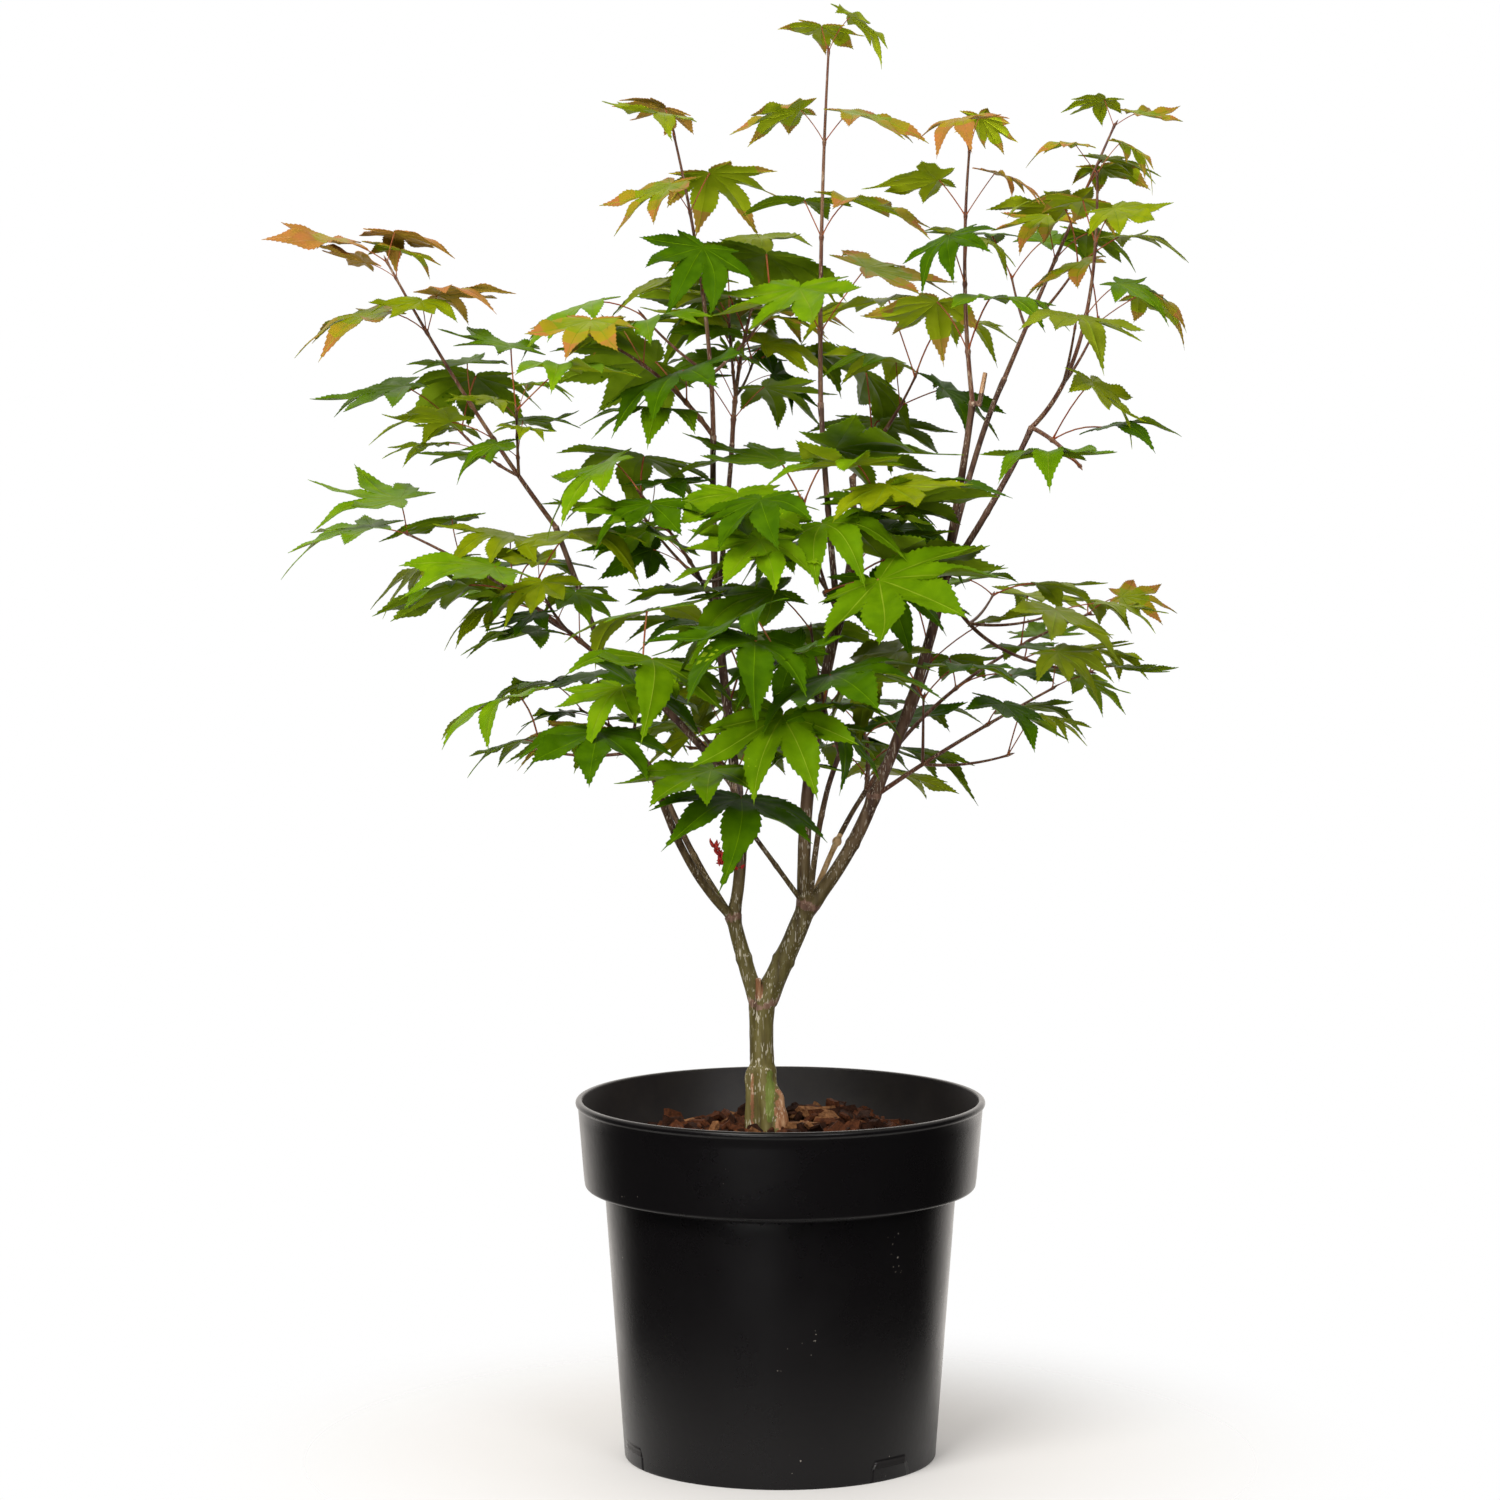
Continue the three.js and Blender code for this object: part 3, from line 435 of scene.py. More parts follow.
def chip_material(name, dark, light):
    """Dull, rough bark in streaks of two shades."""
    material, tree, shader = new_material(name, dark, 0.88, gloss=0.12)
    streaks = noise_of(tree, 350, 5, stretch=(1, 0.4, 1), roughness=0.65)
    shade = ramp(tree, streaks, [(0.3, dark), (0.72, light)])
    feed(tree, shade, shader.inputs["Base Color"])
    bump(tree, shader, noise_of(tree, 900, 5), 0.0012, 0.8)
    return material


# ------------------------------------------------------------------ pot and compost


def arc(centre, radius, start, stop, steps):
    """Points of a round corner of a profile. Angles are in degrees from the outward direction."""
    turns = np.radians(np.linspace(start, stop, steps))
    return [(centre[0] + radius * math.cos(t), centre[1] + radius * math.sin(t)) for t in turns]


def turned(profile, sides, wobble=None):
    """A profile of (radius, height) points turned about the pot's axis."""
    turns = np.arange(sides) * (2 * math.pi / sides)
    rings = []
    for radius, height in profile:
        ring = np.stack((radius * np.cos(turns), radius * np.sin(turns), np.full(sides, height)), 1)
        rings.append(ring if wobble is None else wobble(ring))
    return np.array(rings)


def make_pot():
    """The wall and lip as one turned skin, with the floor plate and the cuts in the foot."""
    p = POT
    lip = p["lip_width"] + 0.7
    collar_top = p["rim_radius"] - p["lip_width"]
    floor_top = p["floor_underside"] + p["floor_thickness"]
    slope = (p["body_radius"] - p["foot_radius"]) / p["collar_bottom"]
    foot, wall, step = p["foot_radius"], p["wall"], p["collar_bottom"]
    profile = [(foot - wall, p["floor_underside"]), (foot - wall, 0.6), (foot - wall + 0.5, 0)]
    profile += [(foot - 0.5, 0), (foot, 0.6)]
    profile += [(foot + slope * z, z) for z in np.linspace(2, step - 5, 26)]
    profile += arc((p["body_radius"] + 3.6, step - 4), 4, 180, 96, 6)
    profile += arc((p["collar_radius"] - 2.5, step + 2.5), 2.5, -90, 0, 6)
    for share in np.linspace(0.12, 1, 8):
        profile.append((mix(p["collar_radius"], collar_top, share), mix(step, p["height"] - 5, share)))
    profile += arc((p["rim_radius"] - lip, p["height"] - 2.2), lip, -60, 90, 9)
    profile += arc((p["rim_radius"] - lip - 1, p["height"] - 1.2), 1.2, 90, 180, 4)
    profile += [(p["collar_radius"] - wall, step + wall + 2), (p["collar_radius"] - wall - 2, step + wall)]
    profile += [(p["body_radius"] - wall, step + wall - 1), (foot - wall + slope * floor_top, floor_top)]
    corners, faces = loft(turned(profile, 192))
    heap = Heap()
    heap.add(corners, faces[:-2])
    heap.add(*floor_plate(foot - wall + 0.4, foot - wall + slope * floor_top + 0.4))
    pot = mesh_object("nursery_pot", heap, [plastic_material(), dust_and_sheen_material()], crease=50)
    cut_notches(pot)
    # Faces that look inward above the floor take the inside finish: dust and a painted sheen.
    for face in pot.data.polygons:
        out = Vector((*face.center.xy, 0)).normalized()
        face.material_index = int(face.normal.dot(out) < -0.5 and face.center.z > (floor_top + 2) * MM)
    return attach(pot, "plastic", "pot")


def floor_plate(under_radius, top_radius):
    """The raised floor with the middle foot under it."""
    p = POT
    low, high = p["floor_underside"], p["floor_underside"] + p["floor_thickness"]
    boss = p["boss_radius"]
    profile = [(1, 0), (boss, 0), (boss, low), (under_radius, low), (top_radius, high), (1, high)]
    return loft(turned(profile, 96))


def cut_notches(pot):
    """The drainage notches in the foot ring, and the holes in the floor."""
    p = POT
    cutters = Heap()
    for angle in p["notch_angles"]:
        turn = math.radians(angle)
        out, side = vec(math.sin(turn), -math.cos(turn), 0), vec(math.cos(turn), math.sin(turn), 0)
        middle = out * (p["foot_radius"] - 2)
        half, top, round_off = p["notch_width"] / 2, p["floor_underside"] - 0.2, 2.5
        outline = [(-half, -4), (half, -4), *arc((half - round_off, top - round_off), round_off, 0, 90, 4)]
        outline += arc((round_off - half, top - round_off), round_off, 90, 180, 4)
        rings = [[middle + out * depth + side * x + UP * z for x, z in outline] for depth in (7, -5)]
        cutters.add(*loft(rings))
    hole = p["drain_hole_radius"]
    for i in range(p["drain_holes"]):
        turn = 2 * math.pi * (i + 0.5) / p["drain_holes"]
        centre = p["drain_circle"] * vec(math.cos(turn), math.sin(turn), 0)
        around = turned([(hole, p["floor_underside"] - 3), (hole, 18)], 24)
        cutters.add(*loft(around + centre))
    tool = mesh_object("notch_cutter", cutters, [])
    cut = pot.modifiers.new("notches", "BOOLEAN")
    cut.operation, cut.solver, cut.object = "DIFFERENCE", "EXACT", tool
    apply_modifiers(pot)
    bpy.data.objects.remove(tool)


def apply_modifiers(piece):
    """The piece keeps its modifiers' result as its own mesh."""
    graph = bpy.context.evaluated_depsgraph_get()
    final = bpy.data.meshes.new_from_object(piece.evaluated_get(graph))
    piece.modifiers.clear()
    piece.data = final


def soil_height(radius):
    """The compost's level at a distance from the pot's axis."""
    s = SOIL
    share = smooth(0, 1, 1 - (radius - s["top_radius"]) / (126 - s["top_radius"]))
    return mix(s["edge_height"], s["top_height"], share)


MOUND = dict(height=8, centre=(34, 12), spread=(34, 40))


def mound(x, y):
    """How much higher the compost and its chips are heaped to the right of the trunk."""
    (cx, cy), (wide, deep) = MOUND["centre"], MOUND["spread"]
    return MOUND["height"] * math.exp(-(((x - cx) / wide) ** 2) - ((y - cy) / deep) ** 2)


def make_soil():
    """The compost as one turned block that fills the pot, with an uneven top."""
    p = POT
    floor = p["floor_underside"] + p["floor_thickness"] + GAP
    gap, step = p["wall"] + 0.6, p["collar_bottom"] + p["wall"]
    edge = p["collar_radius"] - gap + 1.6
    profile = [(2, floor), (p["foot_radius"] - gap, floor), (p["body_radius"] - gap, step + GAP)]
    profile += [(p["collar_radius"] - gap - 2.5, step + GAP), (edge, SOIL["edge_height"] - 3)]
    profile += [(radius, soil_height(radius)) for radius in np.linspace(edge - 0.5, 2, 60)]

    def uneven(ring):
        """Waves and the mound on the top of the compost, and nothing below its edge."""
        if ring[0, 2] < SOIL["edge_height"] - 1:
            return ring
        for point in ring:
            waves = 2.2 * noise.noise(Vector(point * 0.09)) + 1.1 * noise.noise(Vector(point * 0.31))
            point[2] += mound(*point[:2]) + waves - 1.4
        return ring

    heap = Heap()
    heap.add(*loft(turned(profile, 160, uneven)))
    fines = chip_material("compost_fines", (0.006, 0.004, 0.003), (0.026, 0.012, 0.007))
    soil = mesh_object("compost", heap, [fines])
    return attach(soil, "compost", "soil")


CHIPS = dict(tries=2600, trunk_room=13, smallest=3, largest=18, rarity=2.2, tilt=0.5)


def make_chips():
    """Flat flakes of bark that lie on the compost, each an uneven slab of five to seven sides."""
    rng = np.random.default_rng(7)
    shades = [
        # The dark chips are partly weathered bark and partly painted shade for the gaps between chips.
        chip_material("chips_dark", (0.012, 0.005, 0.003), (0.045, 0.016, 0.008)),
        chip_material("chips_red", (0.030, 0.010, 0.005), (0.140, 0.046, 0.018)),
        chip_material("chips_tan", (0.080, 0.030, 0.012), (0.340, 0.160, 0.066)),
    ]
    heap = Heap()
    reach = POT["collar_radius"] - POT["wall"] - 5
    for _ in range(CHIPS["tries"]):
        radius = reach * math.sqrt(rng.random())
        turn = rng.random() * 2 * math.pi
        place = vec(radius * math.cos(turn), radius * math.sin(turn), 0)
        size = CHIPS["smallest"] + (CHIPS["largest"] - CHIPS["smallest"]) * rng.random() ** CHIPS["rarity"]
        from_trunk = np.hypot(place[0] - TRUNK["foot_centre"][0], place[1])
        if from_trunk < CHIPS["trunk_room"] + size * 0.6 or radius + size > reach:
            continue
        sides = int(rng.integers(5, 8))
        angles = (np.arange(sides) + 0.5 * rng.random(sides)) * (2 * math.pi / sides)
        spread = size * (0.65 + 0.5 * rng.random(sides))
        outline = np.stack((spread * np.cos(angles), 0.55 * spread * np.sin(angles)), 1)
        thick = 0.5 + 0.16 * size * rng.random()
        rings = [
            np.column_stack((outline * 0.82, np.full(sides, -thick))),
            np.column_stack((outline, -thick * 0.3 + 0.2 * rng.random(sides))),
            np.column_stack((outline * 0.9, thick + 0.35 * rng.random(sides))),
        ]
        corners, faces = loft(rings)
        tilt, lean = rng.normal(0, CHIPS["tilt"]), rng.normal(0, CHIPS["tilt"])
        corners = corners @ turning(tilt, lean, rng.random() * 2 * math.pi).T
        lift = soil_height(radius) + mound(*place[:2]) - 0.2 + 2.4 * rng.random() + 0.16 * size
        # Half the chips are dark, partly as painted shade between chips.
        shade = int(rng.choice(3, p=(0.50, 0.38, 0.12)))
        heap.add(corners + place + UP * lift, faces, shade)
    chips = mesh_object("bark_chips", heap, shades, crease=25)
    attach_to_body(chips, "root")
    return chips


def turning(x, y, z):
    """A rotation matrix: about X, then Y, then Z, in radians."""
    cx, sx, cy, sy, cz, sz = math.cos(x), math.sin(x), math.cos(y), math.sin(y), math.cos(z), math.sin(z)
    about_x = np.array(((1, 0, 0), (0, cx, -sx), (0, sx, cx)))
    about_y = np.array(((cy, 0, sy), (0, 1, 0), (-sy, 0, cy)))
    about_z = np.array(((cz, -sz, 0), (sz, cz, 0), (0, 0, 1)))
    return about_z @ about_y @ about_x


# ------------------------------------------------------------------ growth, by the source's rule

built = []


def remember(corners, faces, owner, kind):
    """Adds a form to what later twigs and leaves keep clear of."""
    tree = BVHTree.FromPolygons(corners.tolist(), faces)
    built.append(dict(tree=tree, owner=owner, kind=kind, low=corners.min(0), high=corners.max(0)))


def touches(corners, faces, skip=lambda other: False):
    """Whether a form touches anything built so far, apart from what skip lets pass."""
    low, high = corners.min(0), corners.max(0)
    near = [
        other
        for other in built
        if (low < other["high"]).all() and (high > other["low"]).all() and not skip(other)
    ]
    if not near:
        return False
    tree = BVHTree.FromPolygons(corners.tolist(), faces)
    return any(tree.overlap(other["tree"]) for other in near)


def trunk_shape(sides, shares, extra=0.0, relief=None):
    """The trunk's skin. relief adds to the radius, by height and turn."""
    t = TRUNK
    foot = SOIL["top_height"] + GAP
    height = t["tip"][2] - foot
    turns = np.arange(sides) * (2 * math.pi / sides)
    toward = np.cos(turns[:, None] - np.radians(t["buttresses"]))
    nearest = np.maximum(0, toward.max(1))
    rings = []
    for share in shares:
        z = share * height
        fade = max(0, 1 - z / t["flare_height"]) ** 2
        swell = mix(t["neck_radius"], t["fork_radius"], smooth(0.8, 1, share))
        radius = mix(swell, t["foot_radius"], fade) + extra
        x = mix(t["foot_centre"][0], t["tip"][0], share) + t["lean"] * 4 * share * (1 - share)
        if relief:
            shoulder_fade = 1 - smooth(t["spur_height"] - 6, t["spur_height"] + 4, z)
        else:
            shoulder_fade = z < t["spur_height"]
        shoulder = t["spur_size"] * np.maximum(0, -np.cos(turns)) ** 3 * shoulder_fade
        r = radius + t["flare"] * fade * nearest**6 + shoulder * (1 - 0.6 * fade)
        if relief:
            r = r + relief(z, turns)
        rings.append(np.stack((x + r * np.cos(turns), r * np.sin(turns), np.full(sides, foot + z)), 1))
    top = vec(*t["tip"][:2], t["tip"][2] + t["crotch_height"] + extra)
    closing = mix(rings[-1], top, t["crotch_shrink"])
    closing[:, 2] = top[2]
    return loft([*rings, closing])


class Limb:
    """The trunk or a bough: its line, its radii, and the tip that others grow on from."""

    def __init__(self, curve, radii):
        self.curve, self.radii = curve, radii
        self.tip, self.radius = curve.ends[2], radii[1]


def start_of(parent, tip, radius, side=None):
    """Where a limb starts: in its parent's tip, off centre to the side that it leaves on."""
    if side is not None:
        return parent.tip + vec(side, 0, 0)
    away = vec(tip[0] - parent.tip[0], tip[1] - parent.tip[1], 0)
    return parent.tip + unit(away) * 0.7 * max(0, parent.radius - radius)


def bough_radius(radii, extra=0.0):
    """A bough's radius along it, with the swelling of the bud ring at its tip."""

    def radius_at(share, turns=None):
        swell = 1 + BUD_RING["swell"] * smooth(BUD_RING["start"], 1, share)
        return mix(radii[0], radii[1], share) * swell + extra

    return radius_at


def grow_limbs():
    """The trunk's fork and every bough, by name."""
    t = TRUNK
    remember(*trunk_shape(t["sides"], t["rings"], GAP), "trunk", "limb")
    foot = (*t["foot_centre"], SOIL["top_height"] + GAP)
    limbs = {"trunk": Limb(Bent(foot, t["tip"]), (t["neck_radius"], t["fork_radius"]))}
    for name, parent, tip, bend, radii, side in BOUGHS:
        curve = Bent(start_of(limbs[parent], tip, radii[0], side), tip, bend)
        limbs[name] = Limb(curve, radii)
        size = THICK if radii[0] > THICK["radius"] else THIN
        guard = limb(curve, bough_radius(radii, GAP), size["sides"], even(size["steps"]))
        remember(*guard, "bough_" + name, "limb")
    return limbs


def blade_guard(size, cup, thickness):
    """The source's coarse blade, a little larger and thicker: what a leaf needs for itself."""
    half = thickness / 2

    def at(angle, distance, sideways=0.0):
        turn = math.radians(angle)
        x = distance * math.cos(turn) - sideways * math.sin(turn)
        y = distance * math.sin(turn) + sideways * math.cos(turn)
        return (size * x, size * y, -cup * size * distance ** BLADE["droop_power"])

    lobes = [(-angle, length, width) for angle, length, width in LOBES[:0:-1]] + list(LOBES)
    heel = -BLADE["heel"] * size
    outline = [(heel, -STALK["half_width"], 0)]
    for i, (angle, length, width) in enumerate(lobes):
        if i:
            outline.append(at((lobes[i - 1][0] + angle) / 2, BLADE["sinus"]))
        middle = BLADE["widest_at"] * length
        outline += [at(angle, middle, -width)] if width else []
        outline.append(at(angle, length))
        outline += [at(angle, middle, width)] if width else []
    outline.append((heel, STALK["half_width"], 0))
    count = len(outline)
    corners = np.array([*outline, (heel + 1, 0, -1.1), (0, 0, half), (0, 0, -half)], float)
    under, top, bottom = count, count + 1, count + 2
    faces = [[top, count - 1, 0], [bottom, 0, under], [bottom, under, count - 1], [0, count - 1, under]]
    for i in range(count - 1):
        faces += [[top, i, i + 1], [bottom, i + 1, i]]
    return corners, faces


def leaving(axis, turn, spread):
    """A direction that leaves an axis by spread, at a turn about it."""
    side = unit(cross(axis, vec(1, 0, 0) if abs(axis[2]) > 0.95 else UP))
    other = cross(side, axis)
    return axis * math.cos(spread) + math.sin(spread) * (side * math.cos(turn) + other * math.sin(turn))


# The finer growth: which shoots carry it by where their tips lie, and where along a shoot and its
# twigs the pairs stand; their sizes beside the source's, their stalks, and how far inside its reach.
FINER = dict(
    left=-270, right=100, low=470, height=800, dense=145, first_seed=1000,
    shares=(0.14, 0.24, 0.34, 0.44, 0.54, 0.64, 0.74, 0.84, 0.93), on_twigs=(0.3, 0.6, 0.85),
    size=(0.62, 0.95), stalk=(34, 22), twig_stalk=24, inside=25,
)


class Mass:
    """A mass of foliage while it grows: its shoot, its twigs, and the places that carry leaves."""

    def __init__(self, row, limbs):
        name, bough, tip, bend, self.nodes, self.twig_pairs, self.leaf, self.hang, seed = row
        self.name = "leaves_" + name
        self.random = seeded(seed)
        self.curve = Bent(start_of(limbs[bough], tip, SHOOT["radii"][0]), tip, bend)
        self.line = self.curve.raw(np.linspace(0, 1, 2 * SHOOT["steps"] + 1))
        self.places, self.twigs, self.leaves = [], [], []
        guard = limb(self.curve, taper(SHOOT["radii"], GAP), SHOOT["sides"], even(SHOOT["steps"]))
        remember(*guard, self.name, "twig")


def taper(radii, extra=0.0):
    """A radius that changes evenly from foot to tip."""
    return lambda share, turns=None: mix(radii[0], radii[1], share) + extra


def grow_leaf(mass, curve, share, turn, size, stalk_length, draw, inner=0.0):
    """One leaf, or none where nothing fits. All its numbers are drawn before it is tested."""
    origin, axis = curve.at(share), curve.tangent(share)
    draws = [[draw() for _ in range(5)] for _ in range(TRIES)]
    for swing, reach, hang, tilt, droop in draws:
        swung = turn + math.radians(2 * SHOOT["jitter"]) * (2 * swing - 1)
        heading = leaving(axis, swung, math.radians(STALK["spread"]))
        heading[2] = max(heading[2], SHOOT["lowest"]) + STALK["rise"]
        heading = unit(heading)
        vary = STALK["length_spread"]
        joint = origin + heading * stalk_length * mix(1 - vary, 1 + vary, reach)
        outward = unit(vec(joint[0], joint[1], 0)) * BLADE["outward"]
        midrib = unit(unit(vec(heading[0], heading[1], 0)) + outward)
        midrib[2] = mix(*HANG[mass.hang], hang)
        midrib = unit(midrib)
        level = unit(cross(UP, midrib))
        roll = math.radians(BLADE["roll"]) * (2 * tilt - 1)
        across = level * math.cos(roll) + cross(midrib, level) * math.sin(roll)
        facing = cross(midrib, across)
        basis = np.array((midrib, across, facing))
        farthest = joint + midrib * size
        if (np.linalg.norm(mass.line - farthest, axis=1) > SHOOT["reach"] - inner).all():
            continue
        cup = mix(*BLADE["cup"], droop)
        room = BLADE["thickness"] + 2 * ROOM["thickness"]
        corners, faces = blade_guard(ROOM["size"] * size, cup, room)
        corners = corners @ basis + joint
        if touches(corners, faces):
            continue
        stalk = limb(Bent(origin, joint), taper((STALK["half_width"] + GAP,) * 2), 3, even(1))
        if touches(*stalk, lambda other: other["owner"] == mass.name and other["kind"] != "blade"):
            continue
        remember(corners, faces, mass.name, "blade")
        remember(*stalk, mass.name, "stalk")
        leaf = dict(origin=origin, joint=joint, basis=basis, size=size, cup=cup)
        mass.leaves.append(dict(leaf, curve=curve, share=share))
        return


def grow_twig(mass, share, turn, length, draw):
    """A side twig, which carries a pair of leaves at its tip."""
    origin = mass.curve.at(share)
    heading = leaving(mass.curve.tangent(share), turn, math.radians(SHOOT["twig_spread"]))
    heading[2] = max(heading[2], SHOOT["lowest"]) + SHOOT["twig_rise"]
    tip = origin + unit(heading) * length
    curve = Bent(origin, tip, (0, 0, -SHOOT["twig_sag"] * length))
    guard = limb(curve, taper(SHOOT["twig_radii"], GAP), SHOOT["twig_sides"], even(SHOOT["twig_steps"]))
    pair_turn = draw() * math.pi
    if touches(*guard, lambda other: other["owner"] == mass.name):
        return None
    remember(*guard, mass.name, "twig")
    mass.twigs.append(curve)
    return curve, SHOOT["pair_share"], pair_turn


def grow_mass(mass):
    """The side twigs and leaf pairs of a mass, from the lowest up, as in the source."""
    draw = mass.random
    turn = draw() * 2 * math.pi
    for i in range(mass.nodes):
        along = (i + SHOOT["first_pair"]) / (mass.nodes - 1 + SHOOT["first_pair"])
        share = min(SHOOT["last_share"], along)
        jitter = math.radians(SHOOT["jitter"]) * (2 * draw() - 1)
        around = turn + i * math.radians(SHOOT["quarter_turn"]) + jitter
        if i >= mass.twig_pairs:
            mass.places.append((mass.curve, share, around))
            continue
        length = SHOOT["twig_length"] * mix(1, SHOOT["twig_taper"], share)
        for side in (0, math.pi):
            place = grow_twig(mass, share, around + side, length, draw)
            mass.places += [place] if place else []
    for i, (curve, share, around) in enumerate(mass.places):
        along = i / max(1, len(mass.places) - 1)
        stalk = mix(*STALK["length"], along)
        for side in (0, math.pi):
            spread = BLADE["size_spread"]
            size = mix(*mass.leaf, along) * mix(1 - spread, 1 + spread, draw())
            grow_leaf(mass, curve, share, around + side, size, stalk, draw)


def grow_finer(mass, seed):
    """What the source leaves out: in the dense middle of the crown, pairs of smaller leaves on the
    shoot and its twigs between the others, wherever they still fit."""
    tip = mass.curve.ends[2]
    across = FINER["left"] < tip[0] < FINER["right"]
    if not (across and FINER["low"] < tip[2] < FINER["height"]):
        return
    draw = seeded(seed)
    for share in FINER["shares"][:: 1 if abs(tip[0]) < FINER["dense"] else 2]:
        around = draw() * 2 * math.pi
        for side in (0, math.pi):
            size = mix(*mass.leaf, share) * mix(*FINER["size"], draw())
            stalk = mix(*FINER["stalk"], share)
            grow_leaf(mass, mass.curve, share, around + side, size, stalk, draw, FINER["inside"])
    for twig in mass.twigs:
        for share in FINER["on_twigs"]:
            around = draw() * 2 * math.pi
            for side in (0, math.pi):
                size = mass.leaf[1] * mix(*FINER["size"], draw())
                stalk = FINER["twig_stalk"]
                grow_leaf(mass, twig, share, around + side, size, stalk, draw, FINER["inside"])


# ------------------------------------------------------------------ leaves


# What a face of a blade is: its upper side near the joint, farther out or at the tips, or a rib.
# The same on the underside is UNDER more.
INNER, MIDDLE, TIP, RIB, UNDER = range(5)


def zone_at(share):
    """The part of a lobe at a share of its length."""
    return INNER if share < 0.52 else MIDDLE if share < 0.76 else TIP


class LeafShape:
    """The blade of a leaf whose middle lobe is 1 long, as a grid of rows along each lobe. It keeps
    where each corner lies in its lobe, so that each leaf can bend in its own way."""

    # angle, length, half width, rows beyond the notches
    LOBES = ((0, 1, 0.152, 12), (36, 0.94, 0.148, 12), (73, 0.76, 0.122, 10), (120, 0.45, 0.058, 6))
    INNER_ROWS = 2
    NOTCH = 0.32
    BACK_ANGLE, BACK_NOTCH = 172, 0.05
    RIB = (0.011, 0.004)
    WIDEST = 0.34
    TAIL = 1.9
    TOOTH, TOOTH_AT = 0.017, 0.86

    def __init__(self):
        self.rows, self.index, self.faces, self.kinds = [], {}, [], []
        sided = [(-a, n, w, r) for a, n, w, r in self.LOBES[:0:-1]] + list(self.LOBES)
        for i, (angle, length, width, rows) in enumerate(sided):
            right = self.notch(angle, sided[i - 1][0] if i else None, -1)
            left = self.notch(angle, sided[i + 1][0] if i + 1 < len(sided) else None, 1)
            self.lobe(i, angle, length, width, rows, right, left)
        self.table = np.array(self.rows)

    def notch(self, angle, neighbour, side):
        """Distance and angle from the lobe's axis of the notch on one side of it."""
        if neighbour is None:
            return self.BACK_NOTCH, side * self.BACK_ANGLE - angle
        return self.NOTCH, (neighbour - angle) / 2

    def corner(self, lobe, angle, along, sideways, droop_at, rib=0.0):
        """The number of the corner at a place in a lobe. One that is there already is used again."""
        turn = math.radians(angle)
        x = along * math.cos(turn) - sideways * math.sin(turn)
        y = along * math.sin(turn) + sideways * math.cos(turn)
        key = (round(x, 5), round(y, 5), rib > 0)
        if key not in self.index:
            self.index[key] = len(self.rows)
            self.rows.append((x, y, droop_at, abs(sideways), sideways, lobe, rib))
        return self.index[key]

    def profile(self, share, start, width):
        """Half the lobe's width beyond its notch: widest below the middle, with a long point."""
        if share < self.WIDEST:
            return mix(start, width, math.sin(share / self.WIDEST * math.pi / 2))
        rest = (share - self.WIDEST) / (1 - self.WIDEST)
        return width * (1 - rest) ** self.TAIL * (1 + self.TAIL * rest)

    def lobe(self, i, angle, length, width, rows, right, left):
        """One lobe: its rows from the joint to its point, the faces between them, and its teeth."""
        grid = []
        for j in range(self.INNER_ROWS + 1):
            share = j / self.INNER_ROWS
            ends = [
                (share * d * math.cos(math.radians(a)), share * d * math.sin(math.radians(a)))
                for d, a in (right, left)
            ]
            grid.append((share * self.NOTCH, ends))
        for j in range(1, rows + 1):
            share = j / rows
            centre = mix(self.NOTCH, length, share)
            ends = []
            for side, (d, a) in ((-1, right), (1, left)):
                start = d * abs(math.sin(math.radians(a)))
                along = mix(d * math.cos(math.radians(a)), length, share)
                ends.append((along, side * self.profile(share, start, width)))
            grid.append((centre, ends))
        lines = []
        for j, (centre, ((ra, rs), (la, ls))) in enumerate(grid):
            if j in (0, len(grid) - 1):
                lines.append([self.corner(i, angle, centre, 0, centre)] * 7)
                continue
            rib = min(mix(*self.RIB, centre / length) / 2, 0.3 * abs(rs), 0.3 * abs(ls))
            lines.append([
                self.corner(i, angle, ra, rs, centre),
                self.corner(i, angle, mix(centre, ra, 0.5), mix(0, rs, 0.5), centre),
                self.corner(i, angle, centre, -rib, centre),
                self.corner(i, angle, centre, 0, centre, 1),
                self.corner(i, angle, centre, rib, centre),
                self.corner(i, angle, mix(centre, la, 0.5), mix(0, ls, 0.5), centre),
                self.corner(i, angle, la, ls, centre),
            ])
        for j, (low, high) in enumerate(zip(lines, lines[1:])):
            zone = zone_at(grid[j + 1][0] / length)
            for k in range(6):
                face = [low[k], low[k + 1], high[k + 1], high[k]][::-1]
                face = [v for n, v in enumerate(face) if v != face[n - 1]]
                if len(face) > 2:
                    self.faces.append(face)
                    self.kinds.append(RIB if k in (2, 3) else zone)
            if j >= self.INNER_ROWS and j < len(lines) - 2:
                for side, k in enumerate((0, 6)):
                    self.tooth(i, angle, grid[j], grid[j + 1], low[k], high[k], side)
                    self.kinds.append(zone)

    def tooth(self, i, angle, lower, upper, low, high, side):
        """One forward-pointing tooth on the margin between two rows."""
        (a0, s0), (a1, s1) = lower[1][side], upper[1][side]
        out, up = (-1, 1)[side], self.TOOTH_AT
        along, sideways = mix(a0, a1, up), mix(s0, s1, up) + out * self.TOOTH
        point = self.corner(i, angle, along, sideways, mix(lower[0], upper[0], up))
        self.faces.append([low, high, point][::-1] if side == 0 else [low, point, high][::-1])

    def close(self):
        """The underside and the thin rim, as corner numbers for a table that is stacked twice."""
        count = len(self.rows)
        edges = {(a, b) for f in self.faces for a, b in zip(f, f[1:] + f[:1])}
        rim = [(a, b) for a, b in edges if (b, a) not in edges]
        under = [[v + count for v in face[::-1]] for face in self.faces]
        sides = [[b, a, a + count, b + count] for a, b in sorted(rim)]
        kinds = self.kinds + [UNDER + k for k in self.kinds] + [MIDDLE] * len(sides)
        return self.faces + under + sides, kinds


THICKNESS = 0.34
shape = LeafShape()
SHAPE_FACES, SHAPE_KINDS = shape.close()

